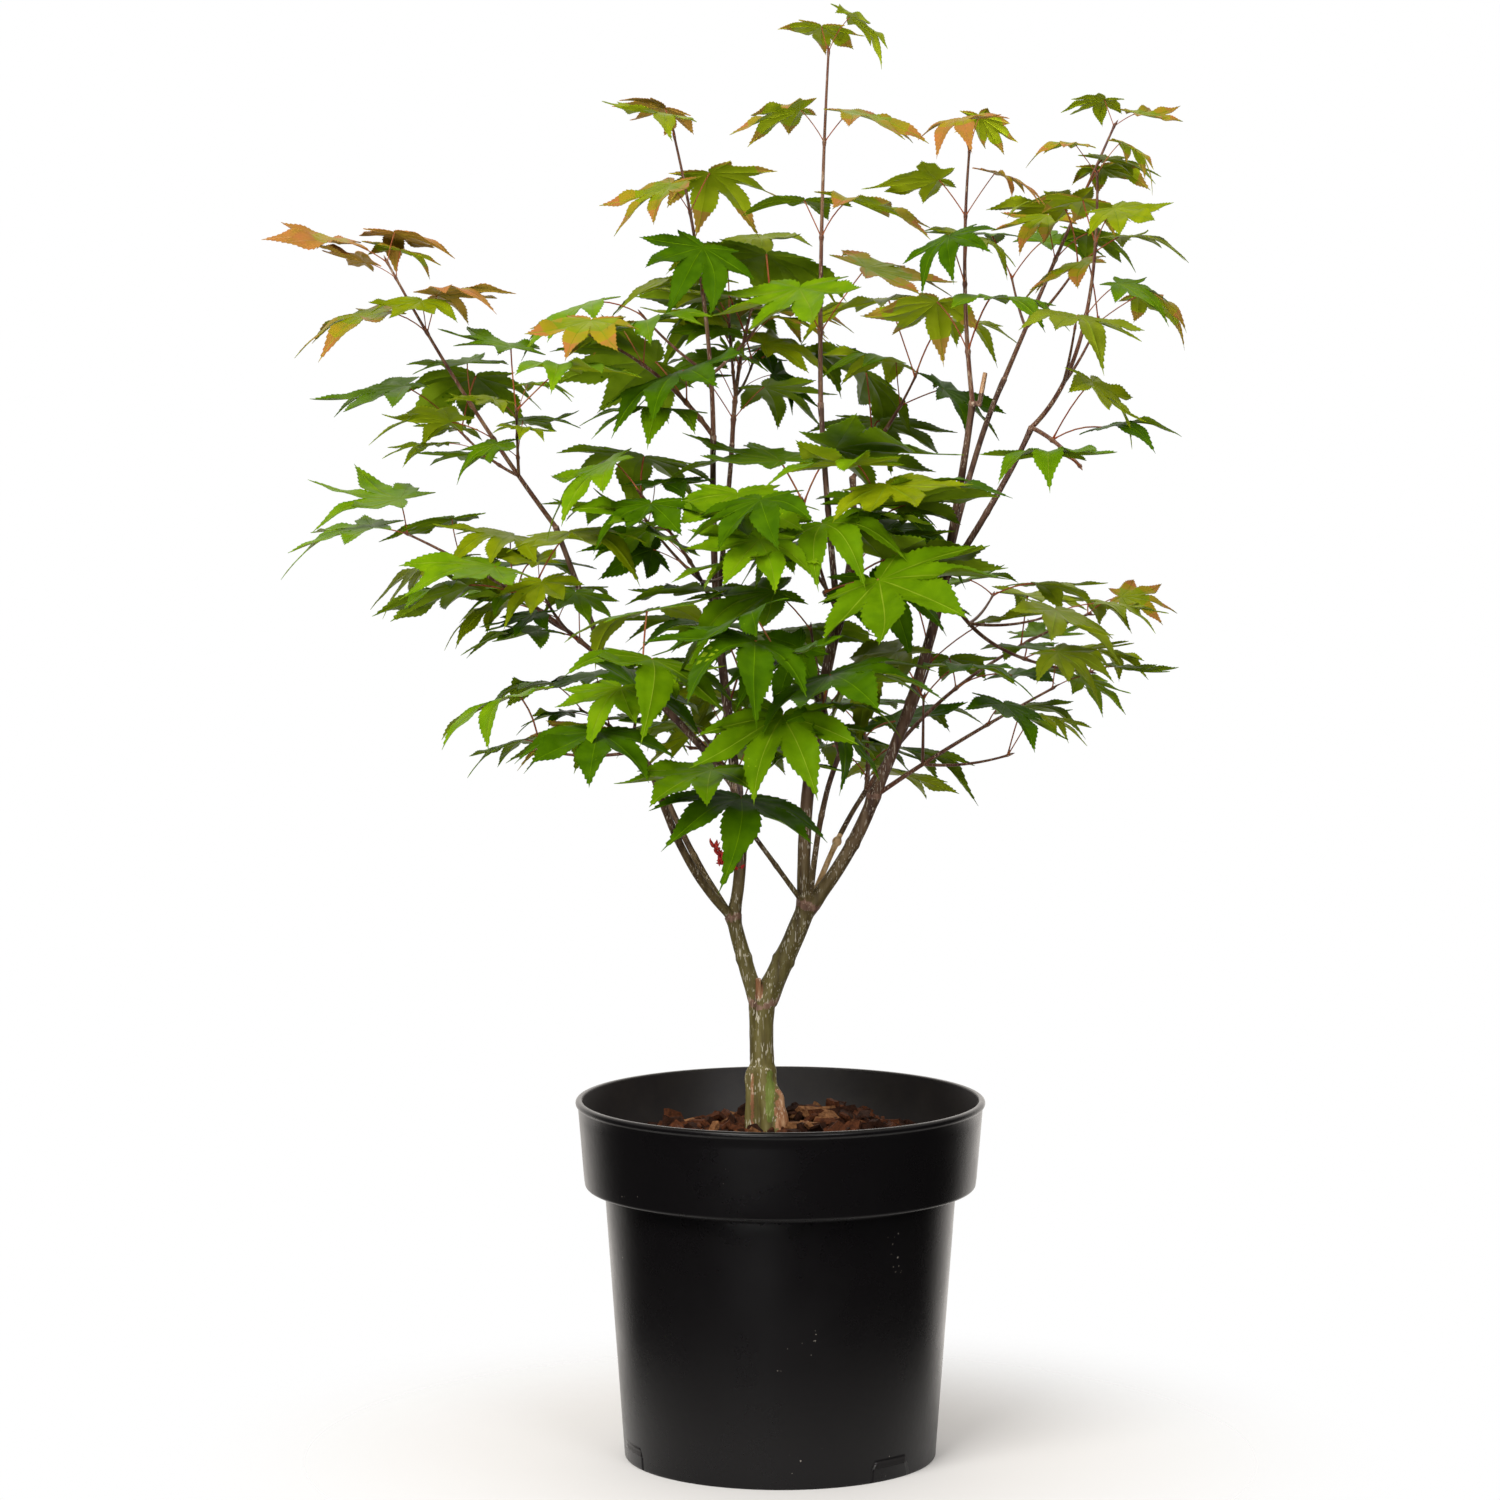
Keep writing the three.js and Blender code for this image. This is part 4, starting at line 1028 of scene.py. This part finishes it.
# Gauss's rule with five points, for the length of a curve from 0 to 1.
TIMES, WEIGHTS = np.polynomial.legendre.leggauss(5)
TIMES, WEIGHTS = (TIMES + 1) / 2, WEIGHTS / 2


def drooping(reach, bend):
    """How far out and how far down points at a reach from the joint lie, where the blade leaves
    the joint level and has turned down by bend at a reach of 1."""
    turns = bend[:, None] * (reach[:, None] * TIMES) ** 1.25
    return reach * (np.cos(turns) @ WEIGHTS), reach * (np.sin(turns) @ WEIGHTS)


# How leaves differ in size from the source's: all of them, and by how much more those to the left, to
# the right and at the far left.
SIZE_CHANGE = dict(all=1.04, left=-0.16, right=-0.26, far_left=0.16)


def drawn_size(leaf):
    """A leaf's size as it is drawn, by how far to a side its joint stands."""
    x = leaf["joint"][0]
    change = SIZE_CHANGE["all"] + SIZE_CHANGE["left"] * smooth(60, 150, -x)
    change += SIZE_CHANGE["right"] * smooth(50, 130, x)
    return leaf["size"] * change * (1 + SIZE_CHANGE["far_left"] * smooth(180, 240, -x))


# How a leaf's pose departs from the source's flat blade, in radians or shares. The dip is how
# steeply that blade hangs, and aside stands for leaves well out to a side, which lie more level.
POSE = dict(
    least_bend=0.06, bend=0.45, bend_range=(-0.2, 0.3), lift=0.15, lift_spread=0.2,
    roll_spread=0.22, roll_aside=0.6, level_aside=0.75, fold=(0.12, 0.34),
    lobe_droop=(-0.5, 0.75), lobe_twist=0.3, lobe_turn=0.2, wave=0.16, waves=13,
)


def blade_corners(leaf, rng):
    """One leaf's own corners, at the source's joint and heading. The blade leaves the joint more
    level than the source's flat one and arches down, and its lobes fold, twist and wave a little."""
    p = POSE
    x, y, along, off_rib, sideways, lobe, rib = shape.table.T
    lobe = lobe.astype(int)
    lobes = 2 * len(LeafShape.LOBES) - 1
    midrib, across, facing = leaf["basis"]
    dip = math.asin(-midrib[2]) + math.atan(leaf["cup"])
    bend = p["least_bend"] + p["bend"] * dip + rng.uniform(*p["bend_range"])
    lift = math.asin(-midrib[2]) - p["lift"] * dip - rng.normal(0, p["lift_spread"])
    aside = smooth(60, 150, abs(leaf["joint"][0]))
    roll = rng.normal(0, p["roll_spread"]) * mix(1, p["roll_aside"], aside)
    roll -= p["level_aside"] * aside * math.asin(across[2])
    midrib, facing = (
        midrib * math.cos(lift) + facing * math.sin(lift),
        facing * math.cos(lift) - midrib * math.sin(lift),
    )
    basis = np.array((
        midrib,
        across * math.cos(roll) + facing * math.sin(roll),
        facing * math.cos(roll) - across * math.sin(roll),
    ))
    reach, turn = np.hypot(x, y), np.arctan2(y, x)
    out, down = drooping(reach, bend * (0.62 + 0.38 * np.cos(turn)))
    beyond = np.maximum(0, along - shape.NOTCH)
    z = -down + rng.uniform(*p["fold"]) * off_rib
    z -= rng.uniform(*p["lobe_droop"], lobes)[lobe] * beyond**1.8
    z += rng.normal(0, p["lobe_twist"], lobes)[lobe] * sideways * smooth(0, 0.4, beyond)
    phase = rng.uniform(0, 2 * math.pi, lobes)[lobe]
    z += p["wave"] * off_rib * np.sin(p["waves"] * along + phase) * smooth(0, 0.3, beyond)
    turn = turn + rng.normal(0, p["lobe_turn"], lobes)[lobe] * beyond**2
    top = np.stack((out * np.cos(turn), out * np.sin(turn), z), 1) * drawn_size(leaf)
    top[:, 2] += 0.3 * rib
    under = top.copy()
    under[:, 2] -= THICKNESS + 0.55 * rib
    return np.concatenate((top, under)) @ basis + leaf["joint"]


# ------------------------------------------------------------------ twigs and stalks

# Radii at the foot and the tip, and a stalk's for each millimetre of its leaf's size. The source's
# twigs are stouter, because they are solids.
SLENDER = dict(shoot=(1.65, 0.75), twig=(1.15, 0.7), stalk=0.0078)


def stalk_corners(leaf, rng):
    """A leaf's thin stalk: it leaves the twig steeply, arches, and thickens at both ends."""
    start = leaf["origin"]
    end = leaf["joint"] - leaf["basis"][0] * 0.4 - leaf["basis"][2] * 0.3
    length = np.linalg.norm(end - start)
    curve = Bent(start, end, vec(0, 0, 0.06 * length) + rng.normal(0, 0.02 * length, 3))
    thick = SLENDER["stalk"] * leaf["size"]

    def radius_at(share, turns):
        return thick * (1 + 0.9 * (1 - smooth(0, 0.12, share)) + 0.35 * smooth(0.93, 1, share))

    return limb(curve, radius_at, 6, np.array((0, 0.06, 0.14, 0.3, 0.5, 0.7, 0.86, 0.95, 1)))


def twig_corners(curve, radii, nodes, sides=8):
    """A twig as far as its last leaves, with swollen nodes where leaves stand."""
    steps = max(8, int(curve.length / 4))
    beside = np.array((-0.012, 0, 0.012))
    shares = np.unique(np.concatenate((even(steps), *[node + beside for node in nodes])))
    shares = shares[(shares >= 0) & (shares <= min(1, nodes[-1] + 0.012))]

    def radius_at(share, turns):
        swollen = sum(math.exp(-(((share - n) * curve.length / 1.7) ** 2)) for n in nodes)
        return mix(radii[0], radii[1], share) * (1 + 0.42 * min(1, swollen))

    return limb(curve, radius_at, sides, shares)


def bud_corners(origin, axis, length):
    """A pointed winter bud in the axil of a pair of leaves."""
    curve = Bent(origin, origin + unit(axis) * length)
    return limb(curve, lambda share, turns: 0.9 * (1 - share**2.2) + 0.05, 6, even(4))


# ------------------------------------------------------------------ bark

# The graft union's groove, the ridge to its left, and the healed wound at the right: turn and half
# width in degrees, how far each stands out, and how high it goes.
UNION = ((232, 8, -3.6, 42), (206, 13, 3.4, 49), (330, 24, 4.4, 34))


def bark_relief(z, turns):
    """Lobed, twisting grooves near the foot that fade to fine unevenness higher up, with the deep
    groove of the graft union at the front left."""
    fade = 1 - smooth(20, 60, z)
    grooves = 0.55 * np.cos(6 * turns + 0.04 * z) + 0.3 * np.cos(11 * turns - 0.06 * z + 1)
    fine = np.array([noise.noise(Vector((3 * math.cos(t), 3 * math.sin(t), 0.11 * z))) for t in turns])
    rings = -0.35 * math.exp(-(((z - 47) / 1.5) ** 2)) + 0.5 * math.exp(-(((z - 43) / 2.5) ** 2))
    union = 0
    for turn, width, size, height in UNION:
        away = (np.degrees(turns) - turn - 0.12 * z + 180) % 360 - 180
        union = union + size * np.exp(-((away / width) ** 2)) * (1 - smooth(height - 9, height + 3, z))
    return grooves * fade + 0.8 * fine * (0.4 + fade) + rings + union - 0.8 * smooth(30, 60, z)


def bough_skin(bough, rng):
    """A bough with its bud ring, a scar between its ends, and lengthwise unevenness."""
    length = bough.curve.length
    thick = bough.radii[0] > THICK["radius"]
    plain = bough_radius(bough.radii)
    shift, middle = rng.uniform(0, 50), rng.uniform(0.42, 0.6)

    def radius_at(share, turns):
        along = share * length
        ring = 0.13 * math.exp(-(((share - middle) * length / 2) ** 2))
        foot = 0.2 * math.exp(-((along / (1.6 * bough.radii[0])) ** 2))
        fine = np.array([
            noise.noise(Vector((1.3 * math.cos(t) + shift, 1.3 * math.sin(t), 0.06 * along)))
            for t in turns
        ])
        return plain(share) * (1 + ring + foot + (0.07 if thick else 0.1) * fine)

    return limb(bough.curve, radius_at, 22 if thick else 14, even(int(length / 1.6)))


def knob(place, axis, radius, length):
    """A short rounded swelling round a limb."""
    axis = unit(axis) * length / 2

    def radius_at(share, turns):
        return radius * math.sqrt(max(0.05, 1 - (2 * share - 1) ** 2))

    return limb(Bent(place - axis, place + axis), radius_at, 14, even(8))


def snag(foot, tip, radius):
    """A short dry stump of a shoot with an uneven cut."""

    def radius_at(share, turns):
        return radius * (1 - 0.15 * share + 0.1 * np.cos(3 * turns))

    return limb(Bent(foot, tip), radius_at, 12, even(10))


# The dry stumps: one in the fork of the trunk and one at the foot of the shoot that rises on the
# right; foot, tip and radius.
SNAGS = (
    ((-14, -6, 296), (-14.5, -8, 319), 2.2),
    ((127, -41, 694), (131, -43, 716), 1.8),
)
# The bough whose lower part is dead and dry, up to a share of its length, with its swollen node.
DEAD = dict(bough="back_low", node=0.52, node_radius=3.3, node_length=7, until=0.56, reach=4.2)

# The joined skin's grain, and how much of it is kept, so that it stays under 200,000 triangles.
SKIN = dict(voxel=0.62, kept=0.53, trunk_sides=56, trunk_steps=75, ring_width=2.6, ring_size=1.06)


def make_wood(limbs):
    """The trunk and all boughs as one skin of bark: made from overlapping limbs, then joined."""
    rng = np.random.default_rng(11)
    heap = Heap()
    heap.add(*trunk_shape(SKIN["trunk_sides"], even(SKIN["trunk_steps"]), relief=bark_relief))
    for foot, tip, radius in SNAGS:
        heap.add(*snag(foot, tip, radius))
    for bough in list(limbs.values())[1:]:
        heap.add(*bough_skin(bough, rng))
        end = bough.radius * (1 + BUD_RING["swell"]) * SKIN["ring_size"]
        heap.add(*knob(bough.tip, bough.curve.tangent(1), end, SKIN["ring_width"]))
    dead = limbs[DEAD["bough"]].curve
    node_at, node_axis = dead.at(DEAD["node"]), dead.tangent(DEAD["node"])
    heap.add(*knob(node_at, node_axis, DEAD["node_radius"], DEAD["node_length"]))
    wood = mesh_object("bark", heap, [])
    remesh = wood.modifiers.new("joined", "REMESH")
    remesh.mode, remesh.voxel_size = "VOXEL", SKIN["voxel"] * MM
    soften = wood.modifiers.new("softened", "SMOOTH")
    soften.factor, soften.iterations = 0.5, 2
    lighten = wood.modifiers.new("lightened", "DECIMATE")
    lighten.ratio = SKIN["kept"]
    apply_modifiers(wood)
    return wood


# Shades of each kind of bark: dark, middle and light streaks, and flecks.
BARKS = dict(
    bark=((0.086, 0.064, 0.023), (0.150, 0.125, 0.034), (0.212, 0.180, 0.062), (0.60, 0.55, 0.41)),
    ring=((0.120, 0.060, 0.042), (0.250, 0.140, 0.095), (0.380, 0.240, 0.165), (0.50, 0.38, 0.28)),
    dry=((0.520, 0.300, 0.130), (0.780, 0.500, 0.250), (0.860, 0.640, 0.380), (0.85, 0.68, 0.48)),
    graft=((0.130, 0.048, 0.020), (0.330, 0.150, 0.066), (0.620, 0.390, 0.220), (0.70, 0.55, 0.40)),
    green=((0.100, 0.125, 0.024), (0.160, 0.205, 0.034), (0.220, 0.270, 0.055), (0.27, 0.30, 0.09)),
)
BARK_UPPER = ((0.054, 0.022, 0.016), (0.108, 0.054, 0.035), (0.190, 0.110, 0.068), (0.45, 0.36, 0.28))
BARK, RING, DRY, GRAFT, GREEN = range(5)

# Patches on the front of the trunk's foot: kind of bark, middle and half sizes across and up.
PATCHES = (
    (GRAFT, -18.5, 238, 1.1, 20),
    (GREEN, -7, 240, 3.0, 19),
    (GRAFT, 3, 230, 6.5, 21),
)


def dress_wood(wood, limbs):
    """Each face's kind of bark: rings at the forks, the dry shoot and stumps, and the graft."""
    mesh = wood.data
    for name, shades in BARKS.items():
        upper = BARK_UPPER if name == "bark" else None
        mesh.materials.append(bark_material("bark_" + name, shades, upper=upper))
    count = len(mesh.polygons)
    centres = np.empty(count * 3)
    mesh.polygons.foreach_get("center", centres)
    centres = centres.reshape(-1, 3) / MM
    rough = np.array([noise.noise(Vector(centre)) for centre in centres * 0.35])
    kinds = np.full(count, BARK)
    x, y, z = centres.T
    tip_x, _, tip_z = TRUNK["tip"]
    fork = np.abs(z - tip_z + 4 - 0.5 * np.abs(x - tip_x)) < 2 + 2.4 * rough
    kinds[fork & (np.hypot(x - tip_x, y) < 16)] = RING
    for bough in list(limbs.values())[1:]:
        away = centres - bough.tip
        near = np.linalg.norm(away, axis=1) < 1.9 * bough.radius + 1.6
        along = np.abs(away @ bough.curve.tangent(1))
        kinds[near & (along < 1.0 + 0.22 * bough.radius + 2.4 * rough)] = RING
    dead = limbs[DEAD["bough"]].curve
    for share in np.arange(0.06, DEAD["until"], 0.03):
        kinds[np.linalg.norm(centres - dead.at(share), axis=1) < DEAD["reach"]] = DRY
    for foot, tip, radius in SNAGS:
        line = Bent(mix(vec(*foot), vec(*tip), 0.5), tip)
        for share in even(8):
            kinds[np.linalg.norm(centres - line.at(share), axis=1) < radius + 0.9] = GRAFT
    for kind, across, up, half_width, half_height in PATCHES:
        inside = ((x - across) / half_width) ** 2 + ((z - up) / half_height) ** 2
        kinds[(inside + 0.8 * rough < 1) & (y < 0)] = kind
    mesh.polygons.foreach_set("material_index", kinds.astype(np.int32))
    mesh.polygons.foreach_set("use_smooth", [True] * count)
    mesh.update()


# ------------------------------------------------------------------ the tree

# Each leaf tint's two shades. The under tints are partly the paler underside a maple leaf has and partly
# painted light shining through the blade.
TINTS = dict(
    deep=((0.036, 0.094, 0.0008), (0.058, 0.134, 0.0010)),
    mid=((0.078, 0.165, 0.0012), (0.110, 0.215, 0.0016)),
    lush=((0.110, 0.230, 0.0020), (0.165, 0.290, 0.0030)),
    light=((0.165, 0.220, 0.0020), (0.235, 0.285, 0.0040)),
    pale=((0.140, 0.180, 0.0060), (0.190, 0.235, 0.0100)),
    amber=((0.250, 0.230, 0.0070), (0.330, 0.220, 0.0140)),
    bronze=((0.300, 0.170, 0.0220), (0.400, 0.150, 0.0400)),
    rib=((0.160, 0.240, 0.010), (0.210, 0.300, 0.018)),
    rib_red=((0.340, 0.180, 0.060), (0.420, 0.220, 0.080)),
    # Underside tints: a paler underside, with painted light shining through the blade.
    under=((0.165, 0.255, 0.006), (0.215, 0.320, 0.012)),
    under_light=((0.330, 0.420, 0.008), (0.400, 0.480, 0.016)),
    under_bronze=((0.450, 0.300, 0.036), (0.540, 0.290, 0.060)),
)
TINT_NAMES = tuple(TINTS)

# The tints of a leaf's faces: near the joint, farther out, at the tips, ribs; then underneath, in tints
# lightened by painted light through the blade.
DRESSES = dict(
    deep=("deep", "deep", "deep", "mid") + ("under",) * 4,
    mid=("mid", "mid", "mid", "rib") + ("under",) * 4,
    lush=("lush", "lush", "lush", "rib") + ("under_light",) * 4,
    light=("light", "light", "light", "rib") + ("under_light",) * 4,
    pale=("pale", "pale", "pale", "rib") + ("under_light",) * 4,
    flushed=("light", "amber", "bronze", "rib")
    + ("under_light", "under_light", "under_bronze", "under_light"),
    bronze=("amber", "bronze", "bronze", "rib_red") + ("under_bronze",) * 4,
)
DRESS_SLOTS = [[TINT_NAMES.index(tint) for tint in tints] for tints in DRESSES.values()]

# How often a leaf wears each dress, by where its spray stands.
SPRAYS = dict(
    inner=(0.46, 0.38, 0.11, 0.03, 0.02, 0.00, 0.00),
    outer=(0.08, 0.28, 0.10, 0.35, 0.17, 0.02, 0.00),
    top=(0.10, 0.26, 0.10, 0.28, 0.11, 0.15, 0.00),
    tip=(0.00, 0.00, 0.00, 0.25, 0.10, 0.45, 0.20),
)


# Above what height a shoot has a tinted tip and how far that reaches, and where the top of the crown
# and its outer sprays begin.
WHERE = dict(tip_height=780, tip_reach=50, top=730, outer=125)


def spray_of(leaf, mass):
    """Which spray a leaf belongs to: by its height, how far out to a side it stands, and how near
    the top of its own shoot."""
    x, _, z = leaf["joint"]
    tip = mass.curve.ends[2]
    if tip[2] > WHERE["tip_height"] and np.linalg.norm(leaf["joint"] - tip) < WHERE["tip_reach"]:
        return "tip"
    if z > WHERE["top"]:
        return "top"
    return "outer" if abs(x) > WHERE["outer"] else "inner"


# Which masses' leaves are joined into one piece.
GROUPS = dict(
    left=("far_left", "upper_left", "low_left_front", "low_left_back", "left_back"),
    middle_left=("left_side", "left_inner", "left_top", "left_upper"),
    middle=("centre_back", "centre_front", "centre_mid", "leader", "back_low"),
    front=("front", "front_low", "low_right", "right_low"),
    right=("right_back", "right_top", "right_back_top", "right_side", "right_outer"),
)


def make_leaves(masses):
    """The leaves of all masses, in five pieces, each leaf in a dress that suits its spray."""
    materials = [leaf_material("leaf_" + name, *shades) for name, shades in TINTS.items()]
    dresses = [[slots[kind] for kind in SHAPE_KINDS] for slots in DRESS_SLOTS]
    rng = np.random.default_rng(5)
    for group, names in GROUPS.items():
        heap = Heap()
        for mass in (masses[name] for name in names):
            for leaf in mass.leaves:
                dress = dresses[rng.choice(len(dresses), p=SPRAYS[spray_of(leaf, mass)])]
                heap.add(blade_corners(leaf, rng), SHAPE_FACES, dress)
        piece = mesh_object("blades_" + group, heap, materials, crease=60)
        attach(piece, "leaf", *["leaves_" + name for name in names])


TWIG_BARK = ((0.085, 0.028, 0.018), (0.150, 0.060, 0.034), (0.220, 0.125, 0.066), (0.36, 0.25, 0.17))
STALK_RED = (0.300, 0.062, 0.026), (0.360, 0.140, 0.055)
CRIMSON = (0.480, 0.022, 0.026), (0.620, 0.070, 0.055)


def crimson_buds(heap, limbs, rng):
    """The tuft of short red shoots that has just broken on the left upright bough."""
    foot = limbs["left_upright"].curve.at(0.36)
    stem = Bent(foot, foot + vec(-17, -11, 17), (-1.5, 0, -1.5))
    heap.add(*limb(stem, lambda share, turns: 1.5 * (1 - 0.6 * share), 8, even(12)), 1)
    for share in np.linspace(0, 1, 11):
        for _ in range(3):
            away = unit(vec(*rng.normal(0, 0.6, 2), rng.normal(0.2, 0.5)) + vec(-0.2, -0.5, 0.2))
            start = stem.at(share)
            shoot = Bent(start, start + away * rng.uniform(3.5, 8), rng.normal(0, 0.5, 3))
            thick = rng.uniform(0.7, 1.2)

            def radius_at(share, turns, thick=thick):
                return thick * (0.75 + 0.5 * math.sin(math.pi * share)) * (1 - 0.8 * share**3)

            heap.add(*limb(shoot, radius_at, 6, even(6)), 1)


def make_twigs(masses, limbs):
    """Shoots, side twigs, stalks and buds of every mass, in two pieces: brown wood and red stalks."""
    rng = np.random.default_rng(3)
    shoots, stalks = Heap(), Heap()
    for mass in masses.values():
        for curve in (mass.curve, *mass.twigs):
            nodes = sorted({leaf["share"] for leaf in mass.leaves if leaf["curve"] is curve})
            if nodes:
                kind = "shoot" if curve is mass.curve else "twig"
                shoots.add(*twig_corners(curve, SLENDER[kind], nodes))
                last = curve.at(nodes[-1]), curve.tangent(nodes[-1])
                shoots.add(*bud_corners(last[0], last[1] + rng.normal(0, 0.12, 3), 5.5))
        for leaf in mass.leaves:
            stalks.add(*stalk_corners(leaf, rng))
    brown = bark_material("twig_bark", TWIG_BARK, 0.5, relief=0.15)
    crimson_buds(stalks, limbs, rng)
    finishes = [leaf_material("stalk_red", *STALK_RED), leaf_material("bud_crimson", *CRIMSON)]
    names = ["leaves_" + name for name in masses]
    attach(mesh_object("twigs", shoots, [brown]), "young_bark", *names)
    attach(mesh_object("stalks", stalks, finishes), "leaf", *names)


def make_tree():
    """The whole plant: first it grows by the source's rule, and then its pieces are made."""
    limbs = grow_limbs()
    masses = {row[0]: Mass(row, limbs) for row in MASSES}
    for mass in masses.values():
        grow_mass(mass)
    for seed, mass in enumerate(masses.values(), FINER["first_seed"]):
        grow_finer(mass, seed)
    make_leaves(masses)
    make_twigs(masses, limbs)
    wood = make_wood(limbs)
    dress_wood(wood, limbs)
    attach(wood, "old_bark", "trunk", *["bough_" + row[0] for row in BOUGHS])


# ------------------------------------------------------------------ studio


def make_floor():
    """A pale disc under the pot that fades into the white round it."""
    material, tree, shader = new_material("studio_floor", (0.78, 0.78, 0.78), 0.9, gloss=0)
    place = node(tree, "TexCoord").outputs["Object"]
    distance = node(tree, "VectorMath", [(0, place)], operation="LENGTH").outputs["Value"]
    clear = node(tree, "BsdfTransparent").outputs["BSDF"]
    fade = eased(tree, distance, (0.13, 0.42), (0, 1))
    blend = node(tree, "MixShader", [("Fac", fade), (1, shader.outputs["BSDF"]), (2, clear)])
    feed(tree, blend.outputs["Shader"], tree.nodes["Material Output"].inputs["Surface"])
    heap = Heap()
    turns = np.arange(96) * (2 * math.pi / 96)
    heap.add(np.stack((440 * np.cos(turns), 440 * np.sin(turns), 0 * turns), 1), [list(range(96))])
    mesh_object("floor", heap, [material])


def make_world():
    """White as the camera sees it. As light, a warm white wall behind, a soft ceiling, and a dark
    room to the sides and in front."""
    world = bpy.data.worlds.new("studio")
    bpy.context.scene.world = world
    world.use_nodes = True
    tree = world.node_tree
    tree.nodes.clear()
    place = node(tree, "TexCoord").outputs["Generated"]
    parts = node(tree, "SeparateXYZ", [("Vector", place)])
    wall = eased(tree, parts.outputs["Y"], (0.45, 0.95), (0.03, 1.5))
    ceiling = eased(tree, parts.outputs["Z"], (0.15, 0.9), (0, 1.0))
    glow = combined(tree, "ADD", wall, ceiling)
    lit = node(tree, "Background", [("Color", (1, 0.95, 0.9, 1)), ("Strength", glow)])
    seen = node(tree, "Background", [("Color", (1, 1, 1, 1))])
    seen_directly = node(tree, "LightPath").outputs["Is Camera Ray"]
    shaders = [(1, lit.outputs["Background"]), (2, seen.outputs["Background"])]
    blend = node(tree, "MixShader", [("Fac", seen_directly), *shaders])
    node(tree, "OutputWorld", [("Surface", blend.outputs["Shader"])])


def softbox(name, place, aim, width, height, power, colour=(1, 1, 1), beam=180):
    """A rectangular light in metres and watts that faces its aim."""
    data = bpy.data.lights.new(name, "AREA")
    data.shape, data.size, data.size_y = "RECTANGLE", width, height
    data.spread = math.radians(beam)
    data.energy, data.color = power, colour
    light = bpy.data.objects.new(name, data)
    bpy.context.scene.collection.objects.link(light)
    light.location = place
    light.rotation_euler = (Vector(aim) - Vector(place)).to_track_quat("-Z", "Y").to_euler()


def make_lights():
    """A warm light from above on the left, a weak one in front, and a low one under the leaves."""
    crown = (0, 0, 0.6)
    softbox("key_above", (-1.0, -1.9, 2.3), crown, 1.4, 1.1, 60, (1, 0.97, 0.93))
    softbox("fill_front", (1.3, -2.6, 1.5), crown, 1.0, 1.0, 18)
    softbox("fill_below", (-0.7, -2.3, 0.25), (0, 0, 0.9), 1.2, 0.4, 3.5, beam=60)


# The camera looks slightly down along +Y, from in front and a little to the left of the middle.
CAMERA_PLACE = (-20.0, -3282.2, 784.6)
CAMERA_PITCH = 5.5  # degrees
CAMERA_LENS = 120.87


def make_camera():
    """The camera that was fitted to the photograph's pot."""
    data = bpy.data.cameras.new("camera")
    data.lens, data.sensor_width = CAMERA_LENS, 36
    camera = bpy.data.objects.new("camera", data)
    camera.location = Vector(CAMERA_PLACE) * MM
    camera.rotation_euler = (math.radians(90 - CAMERA_PITCH), 0, 0)
    bpy.context.scene.collection.objects.link(camera)
    bpy.context.scene.camera = camera


make_camera()
make_pot()
make_soil()
make_chips()
make_tree()
make_floor()
make_world()
make_lights()
bpy.context.scene.view_settings.view_transform = "Standard"
